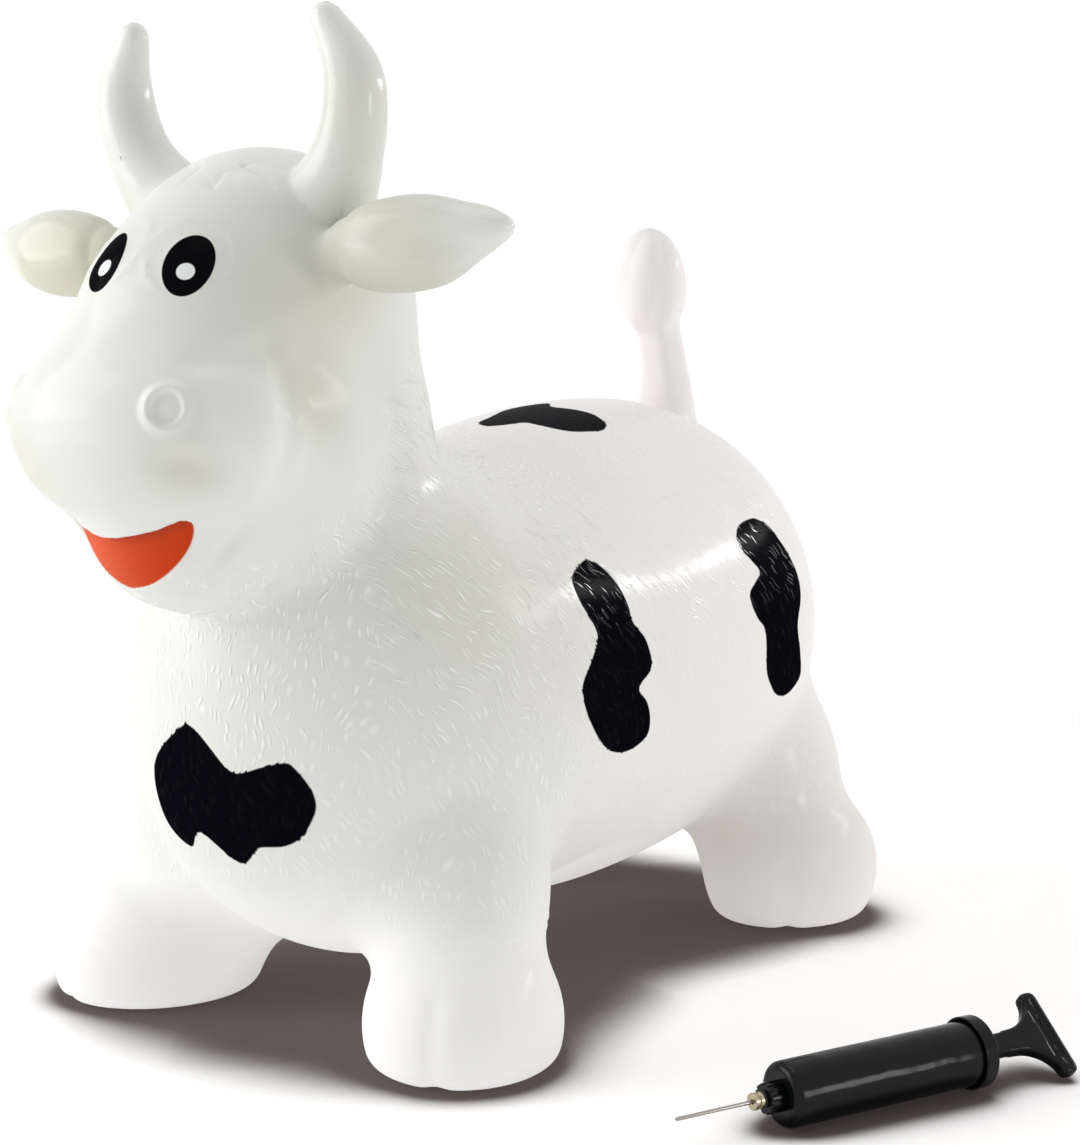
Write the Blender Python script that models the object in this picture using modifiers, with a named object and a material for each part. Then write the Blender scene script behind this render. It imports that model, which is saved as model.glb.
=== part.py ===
"""An inflatable cow for a small child to sit on and bounce, with the hand pump that fills it.

The cow is one hollow moulding of soft vinyl, a rubber valve under its belly and the plug that
shuts the valve.  The pump lies on the floor beside the cow's left front foot, as it is shown.
Frame: metres, +Z up, the cow faces -Y, and its left side is towards +X.  The origin is on the
floor under the middle of the whole set's box.
"""
import math

import bmesh
import bpy
from mathutils import Matrix, Vector

MM = 0.001

# The cow's driving sizes
TORSO_WIDTH = 276.4 * MM      # over the flanks
TORSO_LENGTH = 521 * MM       # front of the chest to back of the rump
TORSO_MIDDLE = 7.5 * MM       # middle of the torso behind the cow's own zero
SEAT_HEIGHT = 338 * MM        # top of the back above the floor
BELLY_HEIGHT = 37 * MM        # underside of the belly above the floor
HEAD_WIDTH = 157.2 * MM
HEAD_LENGTH = 215 * MM        # back of the skull to the front of the muzzle
HEAD_DEPTH = 234 * MM         # crown to chin
HEAD_INSET = 55 * MM          # middle of the skull behind the front of the chest
HEAD_RISE = 66.6 * MM         # middle of the skull above the seat
EAR_REACH = 100 * MM          # from the side of the skull to the middle of the ear's tip
EAR_WIDTH = 47.2 * MM
EAR_THICKNESS = 39.2 * MM
HORN_SPREAD = 159 * MM        # across the middle lines of the two horns at their widest
HORN_LENGTH = 100 * MM
HORN_THICKNESS = 48 * MM      # at the root
FRONT_SPREAD = 222.4 * MM     # between the middles of the front feet
FRONT_INSET = 79 * MM         # front feet behind the front of the chest
HIND_SPREAD = 224 * MM
HIND_INSET = 89.4 * MM        # hind feet in front of the back of the rump
LEG_WIDTH = 220 * MM          # what the widths of legs and feet are shares of
FOOT_LENGTH = 120 * MM
LEG_HEIGHT = 150 * MM
TAIL_INSET = 64 * MM          # root of the tail in front of the back of the rump
TAIL_DROP = 33 * MM           # root of the tail below the seat
TAIL_LENGTH = 145 * MM
TAIL_THICKNESS = 44 * MM      # across the tuft
SKIN_GRAIN = 7 * MM           # spacing of the grid that the skin is first drawn on
WELD = 0.02 * MM              # points closer than this are one point

# Lumps of the skin.  Each row gives the group that it belongs to, whether it has a twin on the
# other side, its middle and its half sizes as shares of the group's sizes, and its turns.
LUMP_SHARES = (
    ("torso", False, (0, 0.2136, 0.5169), (0.5, 0.286, 0.4817), (0, 0, 0)),             # rump
    ("torso", False, (0, 0.0273, 0.485), (0.4595, 0.2879, 0.485), (0, 0, 0)),           # waist
    ("torso", False, (0, -0.2274, 0.4475), (0.474, 0.2735, 0.4728), (0, 0, 0)),         # chest
    ("torso", False, (0, -0.2964, 0.6588), (0.3527, 0.1605, 0.2977), (0, 0, 0)),        # breast
    ("head", False, (0, 0.1279, -0.385), (0.5006, 0.2809, 0.5205), (3, 0, 0)),          # neck
    ("head", False, (0, 0, 0), (0.5, 0.3507, 0.3081), (0, 0, 0)),                       # skull
    ("head", False, (0, -0.186, -0.1244), (0.458, 0.3316, 0.3004), (0, 0, 0)),          # bridge of the nose
    ("head", False, (0, -0.3749, -0.306), (0.5636, 0.2712, 0.2333), (-15, 0, 0)),       # muzzle
    ("head", False, (0, -0.2791, -0.5239), (0.3416, 0.2288, 0.1863), (-15, 0, 0)),      # chin
    ("head", True, (0.2678, -0.1391, -0.3611), (0.2538, 0.233, 0.256), (0, 0, 0)),      # cheek
    ("ear", True, (0.394, -0.7143, 0.3962), (0.478, 0.5, 0.5), (0, -4, 4)),             # ear
    ("ear", True, (0.652, -0.625, 0.5064), (0.338, 0.3469, 0.3008), (0, -4, 4)),        # tip of the ear
    ("front", True, (0.3876, 0.2058, 0.5413), (0.2409, 0.4008, 0.442), (0, 0, 0)),      # front leg
    ("front", True, (0.5, 0, 0.14), (0.2409, 0.5033, 0.3653), (0, 0, 30)),              # front foot
    ("hind", True, (0.4076, -0.0033, 0.5827), (0.2291, 0.4192, 0.46), (0, 0, 0)),       # hind leg
    ("hind", True, (0.5, 0, 0.2267), (0.2282, 0.4892, 0.3753), (0, 0, -30)),            # hind foot
    ("tail", False, (0, -0.1517, 0.7448), (0.5, 0.1517, 0.2483), (8, 0, 0)),            # tuft
)
HORN_LINE_SHARES = ((0.299, -0.077, 0.34), (0.453, -0.156, 0.675), (0.5, -0.205, 1.014), (0.418, -0.26, 1.314))
HORN_RADIUS_SHARES = (0.5, 0.3625, 0.3125, 0.1583)
HORN_BEAD_COUNT = 16
TAIL_LINE_SHARES = ((0, 0, 0.03), (0, -0.034, 0.345), (0, -0.103, 0.586))
TAIL_RADIUS_SHARES = (0.476, 0.345, 0.298)
TAIL_BEAD_COUNT = 9
LUMP_FIRMNESS = 8.0           # pull in the middle of a lump, which falls to nothing at its edge
LUMP_LEVEL_SHARE = 0.075      # the skin lies where the pull has fallen to this share
SKIN_FACE_SHARE = 0.15        # part of the first drawing's faces that the skin keeps

# The valve under the belly
VALVE_BACK = 20 * MM          # behind the cow's own zero
VALVE_FLANGE_RADIUS = 9 * MM
VALVE_FLANGE_THICKNESS = 2.2 * MM
VALVE_BODY_RADIUS = 5.5 * MM
VALVE_BODY_LENGTH = 16 * MM
VALVE_SINK = 3 * MM           # flange's outer face above the belly's lowest line
VALVE_POCKET_DROP = 9 * MM    # how far the pocket is cut downwards from the flange's outer face
PLUG_PIN_RADIUS = 2.6 * MM
PLUG_TIP_RADIUS = 2.2 * MM
PLUG_PIN_LENGTH = 9 * MM
PLUG_HEAD_RADIUS = 5 * MM
PLUG_HEAD_THICKNESS = 1.6 * MM
PLUG_BEVEL = 0.4 * MM

# The pump's driving sizes
BARREL_RADIUS = 16.3 * MM
BARREL_WALL = 2 * MM
BARREL_LENGTH = 118.5 * MM
BARREL_EDGE = 4 * MM          # rounding of the closed front edge
BARREL_END_WALL = 3 * MM
COLLAR_RADIUS = 18.4 * MM
COLLAR_LENGTH = 8 * MM
COLLAR_WALL = 1.4 * MM
COLLAR_END_WALL = 3 * MM
COLLAR_SPIGOT_LENGTH = 5 * MM
COLLAR_SPIGOT_WALL = 1.8 * MM
COLLAR_EDGE = 1 * MM
NOSE_RADIUS = 7.6 * MM
NOSE_LENGTH = 8.5 * MM
NOSE_RIB_HEIGHT = 0.7 * MM
NOSE_RIBS = 12
NOSE_NECK_RADIUS = 5 * MM     # the threaded stub that is screwed into the barrel's end
NOSE_NECK_LENGTH = 4.5 * MM
NOSE_BORE_RADIUS = 2.7 * MM
WASHER_THICKNESS = 1.2 * MM
BASE_RADIUS = 4.2 * MM        # the needle's brass foot
BASE_LENGTH = 5.2 * MM
BASE_GROOVE_DEPTH = 0.8 * MM
BASE_GROOVE_WIDTH = 1.2 * MM
BASE_STUB_RADIUS = 2.3 * MM
BASE_STUB_LENGTH = 6 * MM
NEEDLE_RADIUS = 0.95 * MM
NEEDLE_BORE_RADIUS = 0.6 * MM
NEEDLE_LENGTH = 43 * MM       # in front of its foot
NEEDLE_SEAT = 4 * MM          # inside its foot
NEEDLE_TIP_OPENING = 0.35 * MM
ROD_WIDTH = 11 * MM
ROD_BLADE = 2.6 * MM
HANDLE_LENGTH = 48.5 * MM     # along the grip
HANDLE_GRIP = 10 * MM         # width of the grip along the pump
HANDLE_THICKNESS = 8 * MM
HANDLE_STANDOFF = 51 * MM     # collar to the back of the grip
HANDLE_CORNER = 2.5 * MM      # rounding of the grip's corners
HANDLE_FLARE = 22 * MM        # length of neck over which it runs out towards the grip's ends
NECK_WIDTH = 12 * MM
HANDLE_GROOVE_WIDTH = 4.4 * MM
HANDLE_GROOVE_LENGTH = 40 * MM
HANDLE_GROOVE_DEPTH = 1.6 * MM
PISTON_REST_GAP = 2 * MM      # between the pushed-in piston and the boss's stub
PISTON_LENGTH = 9 * MM
PISTON_GROOVE_WIDTH = 3.4 * MM
PISTON_CLEARANCE = 0.4 * MM
RING_THICKNESS = 2.6 * MM
CLEARANCE = 0.3 * MM          # between touching pieces
OVERRUN = 1 * MM              # how far a cutter runs past what it cuts

# Where the pump's front end lies, and which way its handle points
PUMP_STANDOFF = 184.95 * MM   # outside the middle of the left front foot
PUMP_SETBACK = 6.7 * MM       # behind the middle of that foot
PUMP_HEADING = math.radians(64.35)

ROUND_STEPS = 48
FINE_STEPS = 24
ARC_STEPS = 8

COLOURS = {
    "pearl white vinyl": ((0.86, 0.85, 0.82, 1), 0.32, 0.0),
    "white rubber": ((0.78, 0.77, 0.73, 1), 0.55, 0.0),
    "black gloss plastic": ((0.012, 0.013, 0.015, 1), 0.22, 0.0),
    "black rubber": ((0.02, 0.02, 0.02, 1), 0.6, 0.0),
    "brass": ((0.72, 0.60, 0.36, 1), 0.3, 1.0),
    "steel": ((0.70, 0.70, 0.68, 1), 0.25, 1.0),
}


def clear_scene():
    for old in list(bpy.data.objects):
        bpy.data.objects.remove(old, do_unlink=True)


def new_collection(name):
    made = bpy.data.collections.new(name)
    bpy.context.scene.collection.children.link(made)
    return made


def finish(name):
    """A Principled material of one of the named finishes."""
    colour, roughness, metallic = COLOURS[name]
    made = bpy.data.materials.get(name) or bpy.data.materials.new(name)
    made.use_nodes = True
    shader = made.node_tree.nodes["Principled BSDF"]
    shader.inputs["Base Color"].default_value = colour
    shader.inputs["Roughness"].default_value = roughness
    shader.inputs["Metallic"].default_value = metallic
    made.diffuse_color = colour
    return made


def add_part(name, mesh, surface, parent=None, smooth=True):
    """Put a mesh in the parts' collection as a named piece with its own material."""
    piece = bpy.data.objects.new(name, mesh)
    mesh.name = name
    PARTS.objects.link(piece)
    mesh.materials.clear()
    mesh.materials.append(finish(surface).copy())
    mesh.materials[0].name = name + "_finish"
    if smooth:
        mesh.shade_smooth()
        mesh.set_sharp_from_angle(angle=math.radians(35))
    piece.parent = parent
    return piece


def evaluated_mesh(source):
    """The mesh of an object with its modifiers applied; the object itself is removed."""
    bpy.context.view_layer.update()
    graph = bpy.context.evaluated_depsgraph_get()
    mesh = bpy.data.meshes.new_from_object(source.evaluated_get(graph))
    bpy.data.objects.remove(source, do_unlink=True)
    return mesh


def weld(mesh, distance):
    work = bmesh.new()
    work.from_mesh(mesh)
    bmesh.ops.remove_doubles(work, verts=work.verts, dist=distance)
    bmesh.ops.recalc_face_normals(work, faces=work.faces)
    work.to_mesh(mesh)
    work.free()
    return mesh


def turned(profile, steps, closed=False):
    """A turned solid: the profile of (radius, height) points runs down its outer side.

    An open profile starts and ends on the axis; a closed one goes round the wall of a ring.
    """
    count = len(profile)
    edges = [(i, i + 1) for i in range(count - 1)]
    if closed:
        edges.append((count - 1, 0))
    mesh = bpy.data.meshes.new("profile")
    mesh.from_pydata([(radius, 0, height) for radius, height in profile], edges, [])
    source = bpy.data.objects.new("profile", mesh)
    TOOLS.objects.link(source)
    screw = source.modifiers.new("turn", "SCREW")
    screw.steps = steps
    screw.render_steps = steps
    screw.use_merge_vertices = True
    screw.merge_threshold = WELD
    return weld(evaluated_mesh(source), WELD)


def flat_outline(points, thickness):
    """A flat piece of this outline in X and Y, centred on Z."""
    curve = bpy.data.curves.new("outline", "CURVE")
    curve.dimensions = "2D"
    curve.fill_mode = "BOTH"
    curve.extrude = thickness / 2
    spline = curve.splines.new("POLY")
    spline.points.add(len(points) - 1)
    for point, (x, y) in zip(spline.points, points):
        point.co = (x, y, 0, 1)
    spline.use_cyclic_u = True
    source = bpy.data.objects.new("outline", curve)
    TOOLS.objects.link(source)
    return weld(evaluated_mesh(source), WELD)


def block(size, middle):
    """A box of this size about this middle."""
    work = bmesh.new()
    bmesh.ops.create_cube(work, size=1, matrix=Matrix.Translation(middle) @ Matrix.Diagonal((*size, 1)))
    mesh = bpy.data.meshes.new("block")
    work.to_mesh(mesh)
    work.free()
    return mesh


def moved(mesh, matrix):
    mesh.transform(matrix)
    return mesh


def combined(base, others, operation):
    """The base mesh with the other meshes joined on or cut out."""
    target = bpy.data.objects.new("target", base)
    TOOLS.objects.link(target)
    tools = []
    for other in others:
        tool = bpy.data.objects.new("cutter", other)
        tool.display_type = "WIRE"
        tool.hide_render = True
        TOOLS.objects.link(tool)
        tools.append(tool)
        change = target.modifiers.new("change", "BOOLEAN")
        change.object = tool
        change.operation = operation
        change.solver = "EXACT"
    result = weld(evaluated_mesh(target), WELD)
    for tool in tools:
        bpy.data.objects.remove(tool, do_unlink=True)
    return result


def arc(middle, radius, start, end, steps=ARC_STEPS):
    """Points on an arc about a middle, from one angle in degrees to another."""
    turns = [math.radians(start + (end - start) * i / steps) for i in range(steps + 1)]
    return [(middle[0] + radius * math.cos(t), middle[1] + radius * math.sin(t)) for t in turns]


def lump_groups():
    """For each group of lumps, the point that their places start from and the sizes they share."""
    breast = TORSO_MIDDLE - TORSO_LENGTH / 2
    rump = TORSO_MIDDLE + TORSO_LENGTH / 2
    head = (0, breast + HEAD_INSET, SEAT_HEIGHT + HEAD_RISE)
    temple = (HEAD_WIDTH / 2, *head[1:])
    tail = (0, rump - TAIL_INSET, SEAT_HEIGHT - TAIL_DROP)
    return {
        "torso": ((0, TORSO_MIDDLE, BELLY_HEIGHT), (TORSO_WIDTH, TORSO_LENGTH, SEAT_HEIGHT - BELLY_HEIGHT)),
        "head": (head, (HEAD_WIDTH, HEAD_LENGTH, HEAD_DEPTH)),
        "ear": (temple, (EAR_REACH, EAR_THICKNESS, EAR_WIDTH)),
        "horn": (head, (HORN_SPREAD, HORN_LENGTH, HORN_LENGTH)),
        "front": ((0, breast + FRONT_INSET, 0), (FRONT_SPREAD, FOOT_LENGTH, LEG_HEIGHT)),
        "hind": ((0, rump - HIND_INSET, 0), (HIND_SPREAD, FOOT_LENGTH, LEG_HEIGHT)),
        "tail": (tail, (TAIL_THICKNESS, TAIL_LENGTH, TAIL_LENGTH)),
    }


def scaled(shares, sizes):
    return Vector([share * size for share, size in zip(shares, sizes)])


def smooth_line(points, radii, count):
    """Places and radii at even steps along a smooth curve that passes through the points."""
    line = [points[0] * 2 - points[1], *points, points[-1] * 2 - points[-2]]
    spans = len(points) - 1
    made = []
    for step in range(count):
        along = spans * step / (count - 1)
        span = min(int(along), spans - 1)
        t = along - span
        a, b, c, d = line[span:span + 4]
        place = (b * 2 + (c - a) * t + (a * 2 - b * 5 + c * 4 - d) * t ** 2
                 + (b * 3 - a - c * 3 + d) * t ** 3) / 2
        made.append((place, radii[span] * (1 - t) + radii[span + 1] * t))
    return made


def bead_radius(wanted, spacing):
    """How large a bead's field has to be for a row of beads to be as thick as wanted.

    A row of beads adds up, so each is smaller than it would be alone.
    """
    alone = wanted / math.sqrt(1 - LUMP_LEVEL_SHARE ** (1 / 3))
    reach = wanted * 1.5
    for _ in range(20):
        share = (LUMP_LEVEL_SHARE * spacing * 35 / (32 * reach)) ** (1 / 3.5)
        reach = wanted / math.sqrt(1 - min(share, 0.98))
    return min(reach, alone)


def row_of_beads(points, radii, count):
    """Middles and field radii of the beads along a horn or the tail."""
    line = smooth_line(points, radii, count)
    made = []
    for i, (place, radius) in enumerate(line):
        before = line[max(i - 1, 0)][0]
        after = line[min(i + 1, count - 1)][0]
        steps = min(i + 1, count - 1) - max(i - 1, 0)
        made.append((place, bead_radius(radius, (after - before).length / steps)))
    return made


def add_lump(ball, middle, half_sizes, turns):
    """One ellipsoid whose skin, when it stands alone, has these half sizes."""
    reach = math.sqrt(1 - LUMP_LEVEL_SHARE ** (1 / 3))
    lump = ball.elements.new(type="ELLIPSOID")
    lump.co = middle
    largest = max(half_sizes)
    lump.radius = largest / reach
    lump.size_x, lump.size_y, lump.size_z = (half / largest for half in half_sizes)
    tilt, roll, turn = (math.radians(angle) for angle in turns)
    spin = Matrix.Rotation(turn, 3, "Z") @ Matrix.Rotation(roll, 3, "Y") @ Matrix.Rotation(tilt, 3, "X")
    lump.rotation = spin.to_quaternion()
    lump.stiffness = LUMP_FIRMNESS


def add_beads(ball, line_shares, radius_shares, group, thickness, count, sides):
    """A horn or the tail: a row of round beads that melt together."""
    start, sizes = lump_groups()[group]
    points = [Vector(start) + scaled(shares, sizes) for shares in line_shares]
    radii = [share * thickness for share in radius_shares]
    for place, radius in row_of_beads(points, radii, count):
        for side in sides:
            bead = ball.elements.new(type="BALL")
            bead.co = (place.x * side, place.y, place.z)
            bead.radius = radius
            bead.stiffness = LUMP_FIRMNESS


def melted_lumps():
    """The cow's whole outer form, melted together from its lumps as one closed surface."""
    ball = bpy.data.metaballs.new("lumps")
    ball.resolution = SKIN_GRAIN
    ball.threshold = LUMP_FIRMNESS * LUMP_LEVEL_SHARE
    groups = lump_groups()
    for group, paired, place_shares, half_shares, turns in LUMP_SHARES:
        start, sizes = groups[group]
        middle = Vector(start) + scaled(place_shares, sizes)
        if group in ("front", "hind"):
            sizes = (LEG_WIDTH, FOOT_LENGTH, LEG_HEIGHT)
        half_sizes = scaled(half_shares, sizes)
        add_lump(ball, middle, half_sizes, turns)
        if paired:
            tilt, roll, turn = turns
            add_lump(ball, (-middle.x, middle.y, middle.z), half_sizes, (tilt, -roll, -turn))
    add_beads(ball, HORN_LINE_SHARES, HORN_RADIUS_SHARES, "horn", HORN_THICKNESS, HORN_BEAD_COUNT, (1, -1))
    add_beads(ball, TAIL_LINE_SHARES, TAIL_RADIUS_SHARES, "tail", TAIL_THICKNESS, TAIL_BEAD_COUNT, (1,))
    source = bpy.data.objects.new("lumps", ball)
    TOOLS.objects.link(source)
    mesh = evaluated_mesh(source)
    bpy.data.metaballs.remove(ball)
    return mesh


def thinned(mesh, share):
    """Both sides alike, with fewer faces where the form is plain."""
    source = bpy.data.objects.new("thinned", mesh)
    TOOLS.objects.link(source)
    halves = source.modifiers.new("both sides", "MIRROR")
    halves.use_axis = (True, False, False)
    halves.use_bisect_axis = (True, False, False)
    halves.merge_threshold = WELD
    fewer = source.modifiers.new("fewer faces", "DECIMATE")
    fewer.ratio = share
    fewer.use_symmetry = True
    fewer.symmetry_axis = "X"
    fewer.use_collapse_triangulate = True
    return weld(evaluated_mesh(source), WELD)


def cut_flat_soles(mesh):
    """Cut everything below the floor away and close the four soles with flat faces."""
    work = bmesh.new()
    work.from_mesh(mesh)
    everything = work.verts[:] + work.edges[:] + work.faces[:]
    cut = bmesh.ops.bisect_plane(work, geom=everything, dist=WELD, plane_co=(0, 0, 0),
                                 plane_no=(0, 0, -1), clear_outer=True)
    rim = [item for item in cut["geom_cut"] if isinstance(item, bmesh.types.BMEdge)]
    bmesh.ops.contextual_create(work, geom=rim)
    bmesh.ops.holes_fill(work, edges=[edge for edge in work.edges if edge.is_boundary], sides=0)
    bmesh.ops.triangulate(work, faces=work.faces)
    bmesh.ops.recalc_face_normals(work, faces=work.faces)
    work.to_mesh(mesh)
    work.free()
    return mesh


def valve_face():
    """Height of the valve flange's outer face above the floor."""
    return BELLY_HEIGHT + VALVE_SINK


def valve_outline(grow):
    """Profile of the valve, or with grow of the pocket that it is pressed into."""
    face = valve_face()
    top = face + VALVE_BODY_LENGTH + grow
    step = face + VALVE_FLANGE_THICKNESS + grow
    return [(0, top), (VALVE_BODY_RADIUS + grow, top), (VALVE_BODY_RADIUS + grow, step),
            (VALVE_FLANGE_RADIUS + grow, step)], face


def make_skin(cow):
    """The moulded vinyl body: a closed solid of its inflated form, with the valve's pocket."""
    mesh = cut_flat_soles(thinned(melted_lumps(), SKIN_FACE_SHARE))
    upper, face = valve_outline(CLEARANCE)
    mouth = (VALVE_FLANGE_RADIUS + CLEARANCE, face - VALVE_POCKET_DROP)
    pocket = turned([*upper, mouth, (0, mouth[1])], FINE_STEPS)
    moved(pocket, Matrix.Translation((0, VALVE_BACK, 0)))
    return add_part("skin", combined(mesh, [pocket], "DIFFERENCE"), "pearl white vinyl", cow)


def make_valve(cow):
    """The rubber valve with its blind hole, and the plug that is pushed into it."""
    upper, face = valve_outline(0)
    depth = face + PLUG_PIN_LENGTH + CLEARANCE
    hole = PLUG_PIN_RADIUS + CLEARANCE
    profile = [*upper, (VALVE_FLANGE_RADIUS, face), (hole, face), (hole, depth), (0, depth)]
    valve = add_part("valve", turned(profile, FINE_STEPS), "white rubber", cow)
    valve.location = (0, VALVE_BACK, 0)

    under = face - CLEARANCE
    bottom = under - PLUG_HEAD_THICKNESS
    profile = [(0, face + PLUG_PIN_LENGTH), (PLUG_TIP_RADIUS, face + PLUG_PIN_LENGTH),
               (PLUG_PIN_RADIUS, face + PLUG_PIN_LENGTH / 2), (PLUG_PIN_RADIUS, under),
               (PLUG_HEAD_RADIUS, under), (PLUG_HEAD_RADIUS, bottom + PLUG_BEVEL),
               (PLUG_HEAD_RADIUS - PLUG_BEVEL, bottom), (0, bottom)]
    plug = add_part("valve_plug", turned(profile, FINE_STEPS), "white rubber", cow)
    plug.location = (0, VALVE_BACK, 0)


def make_barrel(pump):
    """The pump's tube, closed at the front with a rounded edge round a threaded hole."""
    inner = BARREL_RADIUS - BARREL_WALL
    hole = NOSE_NECK_RADIUS + CLEARANCE
    edge = arc((BARREL_RADIUS - BARREL_EDGE, BARREL_EDGE), BARREL_EDGE, 0, -90)
    profile = [(inner, BARREL_LENGTH), (BARREL_RADIUS, BARREL_LENGTH), *edge,
               (hole, 0), (hole, BARREL_END_WALL), (inner, BARREL_END_WALL)]
    return add_part("pump_barrel", turned(profile, ROUND_STEPS, closed=True), "black gloss plastic", pump)


def make_collar(pump):
    """The end cap: a skirt that stands off the tube, a spigot in its bore and a keyed hole."""
    rim = BARREL_LENGTH + CLEARANCE
    back = rim + COLLAR_END_WALL
    front = back - COLLAR_LENGTH
    skirt = COLLAR_RADIUS - COLLAR_WALL
    spigot = BARREL_RADIUS - BARREL_WALL - CLEARANCE
    spigot_end = rim - COLLAR_SPIGOT_LENGTH
    profile = [(0, back), *arc((COLLAR_RADIUS - COLLAR_EDGE, back - COLLAR_EDGE), COLLAR_EDGE, 90, 0, 3),
               (COLLAR_RADIUS, front), (skirt, front), (skirt, rim), (spigot, rim), (spigot, spigot_end),
               (spigot - COLLAR_SPIGOT_WALL, spigot_end), (spigot - COLLAR_SPIGOT_WALL, rim), (0, rim)]
    key = ROD_WIDTH + CLEARANCE * 2
    slot = ROD_BLADE + CLEARANCE * 2
    depth = COLLAR_END_WALL + OVERRUN * 2
    middle = (0, 0, rim + COLLAR_END_WALL / 2)
    keyway = combined(block((key, slot, depth), middle), [block((slot, key, depth), middle)], "UNION")
    mesh = combined(turned(profile, ROUND_STEPS), [keyway], "DIFFERENCE")
    return add_part("pump_collar", mesh, "black gloss plastic", pump)


def make_nose(pump):
    """The ribbed boss on the front, its sealing washer, and the needle screwed into it."""
    outline = []
    for i in range(NOSE_RIBS):
        for share, radius in ((0, NOSE_RADIUS), (0.5, NOSE_RADIUS), (0.58, NOSE_RADIUS - NOSE_RIB_HEIGHT),
                              (0.92, NOSE_RADIUS - NOSE_RIB_HEIGHT)):
            turn = math.tau * (i + share) / NOSE_RIBS
            outline.append((radius * math.cos(turn), radius * math.sin(turn)))
    back = -CLEARANCE
    front = back - NOSE_LENGTH
    boss = moved(flat_outline(outline, NOSE_LENGTH), Matrix.Translation((0, 0, (front + back) / 2)))
    stub_end = NOSE_NECK_LENGTH
    stub = turned([(0, stub_end), (NOSE_NECK_RADIUS, stub_end), (NOSE_NECK_RADIUS, back - OVERRUN),
                   (0, back - OVERRUN)], FINE_STEPS)
    bore = turned([(0, stub_end + OVERRUN), (NOSE_BORE_RADIUS, stub_end + OVERRUN),
                   (NOSE_BORE_RADIUS, front - OVERRUN), (0, front - OVERRUN)], FINE_STEPS)
    nose = combined(combined(boss, [stub], "UNION"), [bore], "DIFFERENCE")
    add_part("pump_nose", nose, "black gloss plastic", pump)

    seat = front - CLEARANCE
    washer_front = seat - WASHER_THICKNESS
    hole = BASE_STUB_RADIUS + CLEARANCE
    washer = turned([(BASE_RADIUS, seat), (BASE_RADIUS, washer_front), (hole, washer_front), (hole, seat)],
                    FINE_STEPS, closed=True)
    add_part("needle_washer", washer, "black rubber", pump)

    foot = washer_front - CLEARANCE
    tip = foot - BASE_LENGTH
    groove = foot - (BASE_LENGTH - BASE_GROOVE_WIDTH) / 2
    waist = BASE_RADIUS - BASE_GROOVE_DEPTH
    stub_top = foot + BASE_STUB_LENGTH
    hole = NEEDLE_RADIUS + CLEARANCE
    air = NEEDLE_BORE_RADIUS
    seat_end = tip + NEEDLE_SEAT
    profile = [(air, stub_top), (BASE_STUB_RADIUS, stub_top), (BASE_STUB_RADIUS, foot), (BASE_RADIUS, foot),
               (BASE_RADIUS, groove), (waist, groove), (waist, groove - BASE_GROOVE_WIDTH),
               (BASE_RADIUS, groove - BASE_GROOVE_WIDTH), (BASE_RADIUS, tip), (hole, tip),
               (hole, seat_end), (air, seat_end)]
    add_part("needle_foot", turned(profile, FINE_STEPS, closed=True), "brass", pump)

    top = seat_end - CLEARANCE
    point = tip - NEEDLE_LENGTH
    neck = point + NEEDLE_RADIUS
    profile = [(air, top), (NEEDLE_RADIUS, top), (NEEDLE_RADIUS, neck),
               *arc((NEEDLE_TIP_OPENING, neck), NEEDLE_RADIUS - NEEDLE_TIP_OPENING, 0, -90, 4)[1:],
               (NEEDLE_TIP_OPENING, neck), (air, neck)]
    add_part("needle", turned(profile, FINE_STEPS // 2, closed=True), "steel", pump)


def handle_outline():
    """The flat outline of neck and grip: X runs along the grip, Y along the pump."""
    neck = NECK_WIDTH / 2
    back = HANDLE_STANDOFF
    front = back - HANDLE_GRIP
    end = HANDLE_LENGTH / 2 - HANDLE_CORNER
    right = [(neck, 0)]
    for step in range(ARC_STEPS):
        turn = math.pi / 2 * step / ARC_STEPS
        outwards = (end - neck) * (1 - math.cos(turn))
        right.append((neck + outwards, front - HANDLE_FLARE * (1 - math.sin(turn))))
    right += arc((end, front + HANDLE_CORNER), HANDLE_CORNER, -90, 0, 3)
    right += arc((end, back - HANDLE_CORNER), HANDLE_CORNER, 0, 90, 3)
    return right + [(-x, y) for x, y in reversed(right)]


def make_plunger(pump):
    """Grip, neck and the cross-shaped rod, one moulding; it carries the piston at its front."""
    start = BARREL_LENGTH + CLEARANCE + COLLAR_END_WALL + CLEARANCE
    grip = flat_outline(handle_outline(), HANDLE_THICKNESS)
    pocket_middle = HANDLE_STANDOFF - HANDLE_GRIP / 2
    pockets = []
    for side in (1, -1):
        size = (HANDLE_GROOVE_LENGTH, HANDLE_GROOVE_WIDTH, HANDLE_GROOVE_DEPTH * 2)
        pockets.append(block(size, (0, pocket_middle, side * HANDLE_THICKNESS / 2)))
    grip = combined(grip, pockets, "DIFFERENCE")
    grip = moved(grip, Matrix.Translation((0, 0, start)) @ Matrix.Rotation(math.pi / 2, 4, "X"))
    rod_front = piston_back() + CLEARANCE
    length = start + OVERRUN - rod_front
    middle = (0, 0, rod_front + length / 2)
    blades = [block((ROD_WIDTH, ROD_BLADE, length), middle), block((ROD_BLADE, ROD_WIDTH, length), middle)]
    stud = turned([(0, rod_front + OVERRUN), (ROD_BLADE, rod_front + OVERRUN),
                   (ROD_BLADE, piston_front() + OVERRUN), (0, piston_front() + OVERRUN)], FINE_STEPS)
    return add_part("plunger", combined(grip, [*blades, stud], "UNION"), "black gloss plastic", pump)


def piston_front():
    return NOSE_NECK_LENGTH + PISTON_REST_GAP


def piston_back():
    return piston_front() + PISTON_LENGTH


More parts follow.
